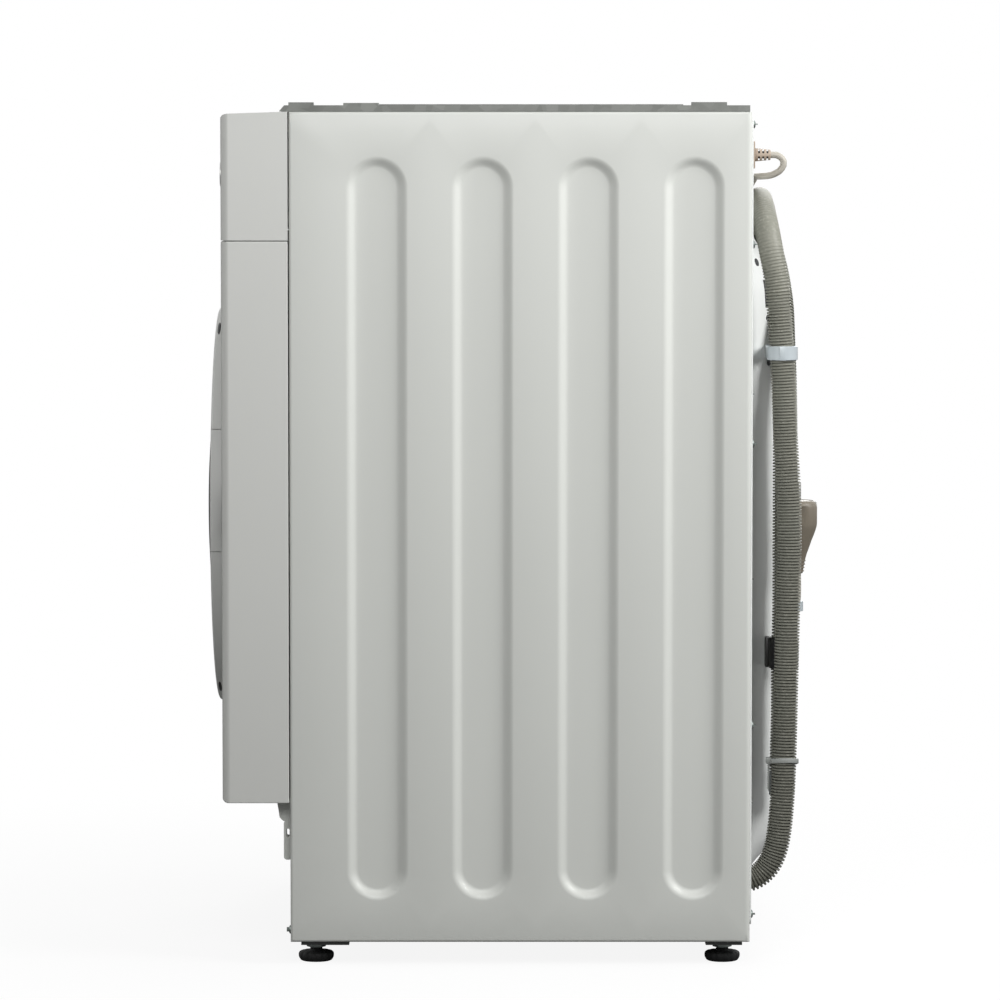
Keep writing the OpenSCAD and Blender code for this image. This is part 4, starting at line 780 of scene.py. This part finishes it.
# Rear cover: a deep smooth pressing whose depth follows the photographed outline
COVER_HALF = 205
COVER_LOW = 44
COVER_HIGH = 724
COVER_MIDDLE = (COVER_LOW + COVER_HIGH) / 2
COVER_HALF_HIGH = (COVER_HIGH - COVER_LOW) / 2
COVER_CORNER = 84
COVER_SHEET = 1.2
COVER_RIM = 9
COVER_WALL = 46
COVER_OFFSET = 1.5
DIMPLE_DEPTH = 2.2
COVER_OUTLINE = [(44, 0), (56, 6), (68, 14), (84, 21), (102, 25.5), (125, 27.5), (167, 28.3),
                 (287, 29.3), (340, 31), (352, 33), (362, 35.2), (398, 36.6), (438, 34.6),
                 (480, 32.4), (553, 29.6), (600, 28.4), (628, 27), (645, 24.6), (660, 21),
                 (690, 16), (706, 12), (717, 6), (724, 0)]
COVER_DIMPLES = [(-120, 330, 9), (120, 330, 9), (-120, 252, 9), (120, 252, 9), (0, 600, 14),
                 (-140, 560, 10), (140, 560, 10)]
# Places of the cover's holes and slots, which are drawn as painted shade
COVER_HOLE_SHADES = [(-60, 694, 4.5), (60, 694, 4.5), (171, 684, 4), (-171, 684, 4), (167, 670, 4),
               (-167, 670, 4), (167, 616, 3), (-167, 616, 3), (167, 572, 3), (-167, 572, 3)]
COVER_SLOT_SHADES = [(166, 639.5), (-166, 639.5)]


def between(knots, x):
    """A straight line's value between listed points"""
    for (x0, y0), (x1, y1) in zip(knots, knots[1:]):
        if x <= x1:
            return y0 + (y1 - y0) * max(0, x - x0) / (x1 - x0)
    return knots[-1][1]


def eased(t):
    t = max(0, min(1, t))
    return t * t * (3 - 2 * t)


def cover_depth(x, z):
    """How far the rear cover stands out, in millimetres"""
    dx = abs(x) - (COVER_HALF - COVER_CORNER)
    dz = abs(z - COVER_MIDDLE) - (COVER_HALF_HIGH - COVER_CORNER)
    inside = COVER_CORNER - (math.hypot(max(dx, 0), max(dz, 0)) + min(max(dx, dz), 0))
    depth = between(COVER_OUTLINE, z) * eased((inside - COVER_RIM) / COVER_WALL)
    for px, pz, r in COVER_DIMPLES:
        away = math.hypot(x - px, z - pz) / r
        depth -= DIMPLE_DEPTH * eased(2 - away) if away < 2 else 0
    return max(depth, 0)


def laid_on_cover(piece, x, z):
    """Moves a piece made at the origin, facing +Y, onto the cover's slope"""
    lean_x = (cover_depth(x + 1, z) - cover_depth(x - 1, z)) / 2
    lean_z = (cover_depth(x, z + 1) - cover_depth(x, z - 1)) / 2
    outward = Vector((-lean_x, 1, -lean_z)).normalized()
    across = Vector((1, lean_x, 0)).normalized()
    upward = across.cross(outward)
    spot = Vector((x * mm, y_back + (cover_depth(x, z) + COVER_OFFSET) * mm, z * mm))
    for v in piece.data.vertices:
        v.co = spot + across * v.co.x + outward * v.co.y + upward * v.co.z
    return piece


def make_rear_cover():
    clear_selection()
    middle = COVER_MIDDLE * mm
    bpy.ops.mesh.primitive_grid_add(
        x_subdivisions=110, y_subdivisions=180, size=1,
        location=(0, y_back + COVER_OFFSET * mm, middle), rotation=(-math.pi / 2, 0, 0))
    cover = bpy.context.view_layer.objects.active
    cover.scale = (2 * COVER_HALF * mm, (COVER_HIGH - COVER_LOW) * mm, 1)
    cover = named("rear_cover_skin")
    straight_x = (COVER_HALF - COVER_CORNER) * mm
    straight_z = (COVER_HALF_HIGH - COVER_CORNER) * mm
    for v in cover.data.vertices:
        dx, dz = abs(v.co.x) - straight_x, abs(v.co.z - middle) - straight_z
        if dx > 0 and dz > 0:
            reach = max(dx, dz) / math.hypot(dx, dz)
            v.co.x = math.copysign(straight_x + dx * reach, v.co.x)
            v.co.z = middle + math.copysign(straight_z + dz * reach, v.co.z - middle)
        v.co.y += cover_depth(v.co.x / mm, v.co.z / mm) * mm
    tidy_normals(cover)
    if cover.data.polygons[0].normal.y < 0:
        edit(cover)
        bpy.ops.mesh.flip_normals()
        done()
    modify(cover, "SOLIDIFY", thickness=COVER_SHEET * mm, offset=-1)
    smooth(cover, 50)
    stands_for(cover, "rear_cover")
    # The holes and slots are dark discs and blocks laid on the cover: painted shade where the
    # openings are
    for i, (x, z, r) in enumerate(COVER_HOLE_SHADES):
        hole = rod(f"cover_hole_shade_{i}", at(0, -1, 0), at(0, 0.5, 0), r, 24, 0.3)
        belongs(smooth(laid_on_cover(hole, x, z)), "rear_cover", FINISHES["dark_plastic"])
    for i, (x, z) in enumerate(COVER_SLOT_SHADES):
        slot = block(f"cover_slot_shade_{i}", at(-4, -3, -13.5), at(4, 0.7, 13.5), 0.5)
        belongs(smooth(laid_on_cover(slot, x, z)), "rear_cover", FINISHES["dark_plastic"])


make_rear_cover()


# Hoses and lead along the routes of the frame
RISING_X, FALLING_X = 217, 190
HOSE_ROUTE = [
    (205, -100, 70), (205, -60, 70), (205, 0, 70), (206, 60, 70), (208, 120, 70), (212, 170, 70),
    (216, 205, 70), (RISING_X, 226, 70.5), (RISING_X, 240, 76), (RISING_X, 251, 89),
    (RISING_X, 258, 111), (RISING_X, 262, 150), (RISING_X, 264, 200), (RISING_X, 265, 250),
    (RISING_X, 266, 300), (RISING_X, 267, 350), (RISING_X, 268, 400), (RISING_X, 267, 450),
    (RISING_X, 264, 500), (RISING_X, 262, 550), (RISING_X, 259, 600), (RISING_X, 255, 650),
    (214, 249, 685), (202, 245, 708), (179, 242.5, 724), (150, 241.5, 731), (128, 242, 727),
    (117, 244.5, 711), (121, 250.5, 691), (138, 258, 662), (157, 262.5, 629), (173, 263.5, 594),
    (184, 264.5, 555), (189, 265, 515), (FALLING_X, 265, 460), (FALLING_X, 265, 400),
    (FALLING_X, 265, 340), (FALLING_X, 264, 280), (FALLING_X, 264, 230), (FALLING_X, 263, 190),
    (FALLING_X, 263, 165)]
TOP_RUN_Z, LOW_RUN_Z = 738.5, 226
LEAD_X, PLUG_X = -234, 47
LEAD_ROUTE = [
    (272.5, 224, 775), (272.5, 246, 775), (272.5, 252, 774.5), (272, 257, 771), (271.5, 258, 765.5),
    (270.5, 254, 759.5), (267, 246, 755.5), (258, 237, 754.5), (240, 233, 754), (200, 232.5, 750),
    (60, 232.5, TOP_RUN_Z), (-110, 232.5, TOP_RUN_Z), (-180, 232.5, 734), (-220, 232.5, 712),
    (LEAD_X, 232.5, 670), (LEAD_X, 232.5, 600), (LEAD_X, 232.5, 420), (LEAD_X, 232.5, 300),
    (-228, 236, 258), (-205, 246, 236), (-170, 261, 228), (-120, 266, LOW_RUN_Z),
    (-60, 267.3, LOW_RUN_Z), (0, 267.5, 228), (30, 269, 236), (44, 272, 254), (PLUG_X, 277, 280),
    (PLUG_X, 283, 310), (PLUG_X, 286, 332), (PLUG_X, 286, 356)]


def along(route, spacing):
    """Points on the smooth curve through a route. spacing gives their distances for its length"""
    knots, count = [at(*p) for p in route], 3000
    fine = [spline_at(knots, (len(knots) - 1) * i / count) for i in range(count + 1)]
    run = lengths_along(fine)
    path, k = [], 0
    for d in spacing(run[-1]):
        while k < len(run) - 2 and run[k + 1] < d:
            k += 1
        path.append(fine[k].lerp(fine[k + 1], (d - run[k]) / (run[k + 1] - run[k])))
    return path


def make_drain_hose():
    """Four rings of points for each rib, two on its crest and two in its groove"""
    pitch, radius = 2.96 * mm, 12
    shares = (0.0, 0.46, 0.6, 0.86)
    flat_above, change = 0.7, 0.09
    shallow, depth = 0.15, 2.2

    def stations(total):
        ribs = int(total / pitch)
        return [min(total, (i + s) * total / ribs) for i in range(ribs) for s in shares] + [total]

    path = along(HOSE_ROUTE, stations)
    radii = []
    for i, p in enumerate(path):
        groove = shallow + depth * eased((flat_above - p.z) / change)
        radii.append(radius * mm if i % len(shares) < 2 else (radius - groove) * mm)
    stands_for(smooth(tube("drain_hose_ribbed", path, radii, 20), 75), "drain_hose")
    profile = [(9, -14), (12.4, -14), (12.6, -13), (12.6, 8), (12.1, 9), (9, 9)]
    cuff = lathe("drain_hose_cuff", profile, path[-1], "Z", 40)
    belongs(smooth(cuff), "drain_hose", FINISHES["grey_rubber"])


def make_lead():
    steps, radius = 420, 3.2
    path = along(LEAD_ROUTE, lambda total: [total * i / steps for i in range(steps + 1)])
    lead = tube("power_cord_round", path, [radius * mm] * len(path), 18)
    stands_for(smooth(lead, 80), "power_cord")


def make_plug():
    """The plug hangs at the end of the lead, its pins up"""
    x, y = LEAD_ROUTE[-1][:2]
    grip_low, grip_high, grip_ease = 385, 424, 14
    shape = [(0.5, 356), (4.6, 356), (5, 357), (5.4, 360), (6.4, 366), (7.6, 371), (9, 376),
             (11.2, 382), (13.6, 389), (16, 395), (17.6, 399.5), (18.6, 403), (19, 406), (19, 422),
             (18.6, 424.5), (17.5, 427), (15.8, 428.6), (15, 429), (14.6, 428.4), (0.5, 428.4)]
    body = lathe("plug_body", shape, at(x, y, 0), "Z", 96)
    for v in body.data.vertices:
        z = v.co.z / mm
        if grip_low < z < grip_high:
            # Two sides are flattened for the fingers
            dx, dy = v.co.x - x * mm, v.co.y - y * mm
            side = max(0, abs(math.cos(math.atan2(dy, dx))) - 0.8) * 5
            share = 1 - eased((z - grip_low) / grip_ease) * side * 0.09
            v.co.x, v.co.y = x * mm + dx * share, y * mm + dy * share
    parts = [smooth(body, 40)]
    for i in range(4):
        radius = 6.2 + i * 0.5
        ring = lathe(f"plug_neck_ring_{i}", [(4, 0), (radius, 0.3), (radius, 1.6), (4, 2)],
                     at(x, y, 357.5 + i * 3.4), "Z", 40)
        parts.append(smooth(ring))
    stands_for(joined("power_plug_moulding", parts), "power_plug")
    for s in (-1, 1):
        pin_x = x + s * 9.5
        pin = rod(f"plug_pin_{s + 1}", at(pin_x, y, 427), at(pin_x, y, 448), 2.4, 32, 0.9, 3)
        belongs(smooth(pin), "power_plug", FINISHES["bare_steel"])
    for s in (-1, 1):
        clip_y = y + s * 18.2
        clip = block(f"plug_earth_{s + 1}", at(x - 3, clip_y - 0.6, 408),
                     at(x + 3, clip_y + 0.6, 428.6), 0.3)
        belongs(smooth(clip), "power_plug", FINISHES["bare_steel"])


def make_strain_relief():
    """A plate and a slotted cone, with a dark core behind the slots as painted shade in them"""
    x, y, z = side_x / mm - 25, y_back / mm, panel_top / mm - 41
    plate = block("relief_plate", at(x - 10, y, z - 13), at(x + 10, y + 2, z + 13), 0.7)
    cone = rod("relief_cone", at(x, y + 1.5, z), at(x, y + 17, z), 6.4, 48, 0.6, 2, 5.0)
    slots = [block("relief_slot", at(x - 12, slot_y, slot_z - 1.8),
                   at(x + 12, slot_y + 1.8, slot_z + 1.8))
             for slot_y in (y + 5, y + 9, y + 13) for slot_z in (z - 3.3, z + 3.3)]
    cut(cone, *slots)
    stem = rod("relief_stem", at(x, y - 6, z), at(x, y + 1, z), 6.2, 40)
    relief = joined("cord_strain_relief_moulding", [plate, cone, stem])
    stands_for(smooth(relief, 40), "cord_strain_relief", RELIEF)
    # painted shade: a dark core inside the cone so that the slots read dark
    core = rod("relief_shade_core", at(x, y + 4, z), at(x, y + 15, z), 3.5, 32)
    belongs(smooth(core), "cord_strain_relief", FINISHES["dark_plastic"])


def ring_clip(name, x, y, z, inner, outer, height):
    """A band round a hose"""
    profile = [(inner, 0.4), (inner + 0.4, 0), (outer - 0.5, 0), (outer, 0.5),
               (outer, height - 0.5), (outer - 0.5, height), (inner + 0.4, height),
               (inner, height - 0.4), (inner, 0.4)]
    return lathe(name, profile, at(x, y, z), "Z", 64)


def make_hose_clips():
    z = 577
    band = ring_clip("pale_band", RISING_X, 260.6, z, 12.3, 14.9, 13.5)
    latch = block("pale_latch", at(229.6, 257, z - 0.2), at(232, 263.4, z + 13.7), 0.6)
    arm = block("pale_arm", at(172, 246.3, z + 0.4), at(210, 250.3, z + 13.1), 0.8)
    stands_for(smooth(joined("hose_clip_pale", [band, latch, arm])), "rear_clips")
    z = 275.5
    band = ring_clip("black_band", FALLING_X, 264.2, z, 12.2, 14.7, 30)
    arm = block("black_arm", at(172, 246.4, z + 0.4), at(190, 250.6, z + 29.6), 0.6)
    belongs(smooth(joined("hose_clip_black", [band, arm])), "rear_clips", BLACK_CLIP)


def make_cable_tie():
    """A loop round both runs of the hose, sloping, with its head and toothed tail behind it"""
    z = 182.5
    clear_selection()
    bpy.ops.mesh.primitive_circle_add(vertices=64, radius=13.2 * mm, location=at(RISING_X, 264, z))
    tie = named("cable_tie")
    for v in tie.data.vertices:
        if v.co.x < (RISING_X - 0.001) * mm:
            v.co.x -= (RISING_X - FALLING_X) * mm
            v.co.y -= 0.8 * mm
    edit(tie)
    bpy.ops.mesh.extrude_region_move(TRANSFORM_OT_translate={"value": (0, 0, 4.6 * mm)})
    done()
    for v in tie.data.vertices:
        v.co.z += (v.co.x - (RISING_X + FALLING_X) / 2 * mm) * 0.16
    modify(tie, "SOLIDIFY", thickness=1.3 * mm, offset=0)
    bevel(tie, 0.3)
    head = block("tie_head", at(214, 246, z + 1.9), at(221, 251.6, z + 8.3), 0.9)
    tail = block("tie_tail", at(215.5, 248.2, z - 24.5), at(219.5, 249.5, z + 2.5), 0.4)
    teeth = []
    for i in range(11):
        low = z - 22.5 + 2.2 * i
        teeth.append(block(f"tooth_{i}", at(215.8, 247.4, low), at(219.2, 248.4, low + 1.1),
                           0.2, 1))
    belongs(smooth(joined("cable_tie", [tie, head, tail, *teeth])), "rear_clips", TIE_GREY)


def make_lead_saddles():
    back, reach, short = y_back / mm, 11, 4
    saddles = []
    for x, y, z, upright in ((60, back, TOP_RUN_Z, False), (-110, back, TOP_RUN_Z, False),
                             (LEAD_X, back, 600, True), (LEAD_X, back, 420, True),
                             (-60, 263.3, LOW_RUN_Z, False)):
        wide, high = (reach, short) if upright else (short, reach)
        arch_wide, arch_high = min(wide, 6), min(high, 6)
        base = block("saddle_base", at(x - wide, y - 0.4, z - high),
                     at(x + wide, y + 1.1, z + high), 0.4)
        arch = block("saddle_arch", at(x - arch_wide, y, z - arch_high),
                     at(x + arch_wide, y + 8.6, z + arch_high), 1.6, 3)
        screw = lathe("saddle_screw", [(0.3, 1.9), (1.6, 1.8), (2.3, 1.2), (2.4, 0.8)],
                      at(x + (8.6 if upright else 0), y, z + (0 if upright else 8.6)), "Y", 24)
        saddles += [base, arch, screw]
    holder = block("lead_holder", at(44, 266.8, 318), at(50, 280, 328), 0.8)
    collar = ring_clip("lead_collar", PLUG_X, 285.2, 318, 3.4, 6.2, 10)
    belongs(smooth(joined("lead_saddles", [*saddles, holder, collar])), "rear_clips",
            FINISHES["clip_plastic"])


make_drain_hose()
make_lead()
make_plug()
make_strain_relief()
make_hose_clips()
make_cable_tie()
make_lead_saddles()


# Feet: scalloped rubber pads on threaded studs, with chamfered locknuts
def make_feet():
    lo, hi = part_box("levelling_feet")
    nut_lo, nut_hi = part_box("foot_locknuts")
    radius, scallops = 17 * mm, 14
    stud_foot, pitch = 12, 1.5
    spots = [(s * (hi.x - radius), y) for s in (-1, 1) for y in (lo.y + radius, hi.y - radius)]
    profile = [(0.5, 0.2), (13.8, 0), (15, 0.5), (15.8, 1.6), (16.7, 3.2), (17, 4.6), (17, 6.4),
               (16.7, 7.6), (15.9, 8.6), (14.4, 9.2), (7, 9.5), (6.4, 10.4), (5.8, 12), (5, 12.2)]
    turns = int((hi.z / mm - stud_foot) / pitch)
    thread = [(r, stud_foot + pitch * (i + s))
              for i in range(turns) for r, s in ((4.4, 0), (5, 0.4), (5, 0.6))]
    stud_profile = [(0.5, stud_foot), *thread, (0.5, stud_foot + pitch * turns)]
    pads, studs, nuts = [], [], []
    for x, y in spots:
        pad = lathe("pad", profile, (x, y, 0), "Z", 120)
        for v in pad.data.vertices:
            dx, dy = v.co.x - x, v.co.y - y
            r = math.hypot(dx, dy) / mm
            lump = max(0, math.cos(scallops * math.atan2(dy, dx))) ** 0.6
            share = 1 - 0.055 * lump * eased((r - 12.5) / 2.5) * eased(v.co.z / (2.5 * mm))
            v.co.x, v.co.y = x + dx * share, y + dy * share
        pads.append(smooth(pad, 50))
        studs.append(smooth(lathe("stud", stud_profile, (x, y, 0), "Z", 32), 60))
        nut = rod("nut", (x, y, nut_lo.z), (x, y, nut_hi.z), 9.5, 6)
        crown = rod("crown", (x, y, nut_lo.z - mm), (x, y, nut_hi.z + mm), 9.3, 64, 1.9, 4)
        modify(nut, "BOOLEAN", operation="INTERSECT", object=crown, solver="EXACT")
        bpy.data.objects.remove(crown)
        nuts.append(smooth(bevel(nut, 0.2), 30))
    stands_for(joined("levelling_feet_pads", pads), "levelling_feet")
    belongs(joined("levelling_feet_studs", studs), "levelling_feet", FINISHES["zinc"])
    stands_for(joined("foot_locknuts_chamfered", nuts), "foot_locknuts")


make_feet()


# Springs, bellows and hoses
def spring_coil(x, y, z0, z1, radius, turns):
    """A coil's path, whose ends wind in to its axis"""
    steps, wind_in = 20, 8
    count = turns * steps
    path = []
    for i in range(count + 1):
        turn = 2 * math.pi * i / steps
        r = radius * min(1, i / wind_in + 0.05, (count - i) / wind_in + 0.05)
        path.append(at(x + r * math.cos(turn), y + r * math.sin(turn), z0 + (z1 - z0) * i / count))
    return path


def make_springs():
    lo, hi = (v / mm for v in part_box("suspension_springs"))
    y = (lo.y + hi.y) / 2
    coils = []
    for s in (-1, 1):
        x = s * SPRING_X
        coil = spring_coil(x, y, lo.z + 24, hi.z - 26, 11.2, 40)
        path = [at(x, y, lo.z + 4), *coil, at(x, y, hi.z - 4)]
        coils.append(smooth(tube("coil", path, [1.75 * mm] * len(path), 8), 80))
        for z in (lo.z, hi.z - 5):
            coils.append(smooth(rod("head", at(x, y, z), at(x, y, z + 5), 5, 24, 0.8), 40))
    bends_for(joined("suspension_springs_coiled", coils), "suspension_springs",
              at(0, y, lo.z + 6), at(0, y, hi.z - 6))


def bellows(name, node, ribs, inner, outer):
    """A ribbed tube as high as its node"""
    lo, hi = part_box(node)
    x, y = (lo.x + hi.x) / 2, (lo.y + hi.y) / 2
    height, rib, rib_steps = (hi.z - lo.z) / mm, 3, 6
    wall = [(outer - rib + rib * math.sin(math.pi * k / rib_steps) ** 2,
             height * (i + k / rib_steps) / ribs)
            for i in range(ribs) for k in range(rib_steps)]
    profile = [(inner, 0), *wall, (outer - rib, height), (inner, height), (inner, 0)]
    hose = smooth(lathe(name, profile, (x, y, lo.z), "Z", 48), 60)
    bends_for(hose, node, (x, y, lo.z), (x, y, hi.z))


def make_gasket():
    """The bellows from the front collar, past the bowl, to the tub's neck, by their radii"""
    y0, y1 = (v.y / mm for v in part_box("door_gasket"))
    collar, neck, bowl = 191, 177, 150
    profile = [
        (bowl + 0.6, y0 + 3), (bowl + 3, y0 + 1), (bowl + 12, y0 + 2.2), (collar - 12, y0 + 0.6),
        (collar - 3, y0), (collar + 2.6, y0 + 0.2), (collar + 3.4, y0 + 1.2),
        (collar + 3.4, y0 + 9.4), (collar + 0.6, y0 + 10), (collar - 1.8, y0 + 4),
        (collar - 2.4, y0 + 11), (collar - 5, y0 + 15), (neck + 5, y0 + 16),
        (neck + 4.4, y1 - 1), (neck + 0.4, y1),
        (neck + 0.2, y1 - 9), (neck - 8, y1 - 12), (neck - 11, y1 - 16), (neck - 11.6, y0 + 18),
        (neck - 8, y0 + 12), (neck - 5, y0 + 10), (collar - 7, y0 + 6.4), (bowl + 8, y0 + 7),
        (bowl + 2, y0 + 5.6), (bowl + 0.6, y0 + 3)]
    gasket = lathe("door_gasket_bellows", profile, drum_axis, "Y", 160)
    bends_for(smooth(gasket, 50), "door_gasket", at(0, y0 + 9, AXIS_HEIGHT),
              at(0, y1 - 2, AXIS_HEIGHT))


make_springs()
bellows("dispenser_hose_bellows", "dispenser_hose", 7, 14.3, 20)
bellows("sump_hose_bellows", "sump_hose", 6, 18.3, 24)
make_gasket()


# Screws with domed heads and cross recesses
def screw_head(name, x, y, z, radius, height, ahead):
    """A screw head lying on a wall that faces along y, its recess cut in. ahead is 1 or -1"""
    dome = [(0.3, 1), (0.45, 0.97), (0.75, 0.8), (0.95, 0.5), (1, 0.2), (1, 0)]
    profile = [(r * radius, d * height * ahead) for r, d in dome] + [(0.3, 0)]
    head = lathe(name, profile, at(x, y, z), "Y", 40)
    long = radius * 0.5
    short = long / 3.2
    low_y, high_y = sorted((y + 0.45 * height * ahead, y + 2 * height * ahead))
    bars = [block("bar", at(x - a, low_y, z - b), at(x + a, high_y, z + b))
            for a, b in ((long, short), (short, long))]
    return smooth(cut(head, *bars), 30)


def make_screws():
    back, foot, top = y_back / mm, panel_foot / mm, panel_top / mm
    flange_x, cover_x, height = side_x / mm - 10, COVER_HALF - 4.5, 2
    heads = []
    for s in (-1, 1):
        for z in (foot + 26, 230, 500, 690, top - 12):
            heads.append(screw_head("head", s * flange_x, back, z, 4, height, 1))
        heads.append(screw_head("head", s * flange_x, y_front / mm, foot + 11, 4.2, height, -1))
        for z in (144, 363, 543):
            heads.append(screw_head("head", s * cover_x, back + COVER_OFFSET, z, 3.6, height, 1))
    stands_for(joined("screws_cross_recessed", heads), "screws")


make_screws()


def make_ring_shade_marks():
    """Two dark marks in the door ring's side, above and below on the side away from the hinge:
    painted shade for the shadow gaps there
    """
    radius, y = 197.6, -290.5
    thickness = (0.8, 1.3, 1.6, 1.7, 1.7, 1.7, 1.6, 1.3, 0.8)
    for i, middle_turn in enumerate((65, -63)):
        turns = [math.radians(middle_turn + step) for step in range(-4, 5)]
        path = [at(radius * math.cos(t), y, AXIS_HEIGHT + radius * math.sin(t)) for t in turns]
        # painted shade: a dark tube where the gap between the ring and the fascia lies in shadow
        mark = tube(f"ring_shade_mark_{i}", path, [r * mm for r in thickness], 12)
        belongs(smooth(mark, 60), "door_outer_ring", FINISHES["dark_plastic"])


make_ring_shade_marks()

# Shapes whose edges only need rounding
for node, width in {
    "front_panel": 1.2, "control_panel": 1.0, "front_frame": 0.5, "door_handle": 0.6,
    "door_outer_ring": 0.5, "start_button": 0.5, "option_button_1": 0.6, "option_button_2": 0.6,
    "option_button_3": 0.6, "programme_knob": 0.4, "detergent_drawer": 0.6, "door_lock": 0.8,
    "hinge_bracket": 0.5, "hinge_arm": 0.5, "base_rails": 0.4, "rear_panel": 0.4,
    "inlet_valve": 0.5, "drain_pump": 0.8, "top_counterweight": 3, "front_counterweight": 3,
}.items():
    # the door ring and handle take the whiter moulding, which is painted light
    rounded(node, width, DOOR_WHITE_PAINTED_LIGHT if node in ("door_outer_ring", "door_handle") else None)

# Everything carried over keeps its shape and gets its own finish
for name, obj in nodes.items():
    dress(obj, FINISHES[slot_of_node[name]])
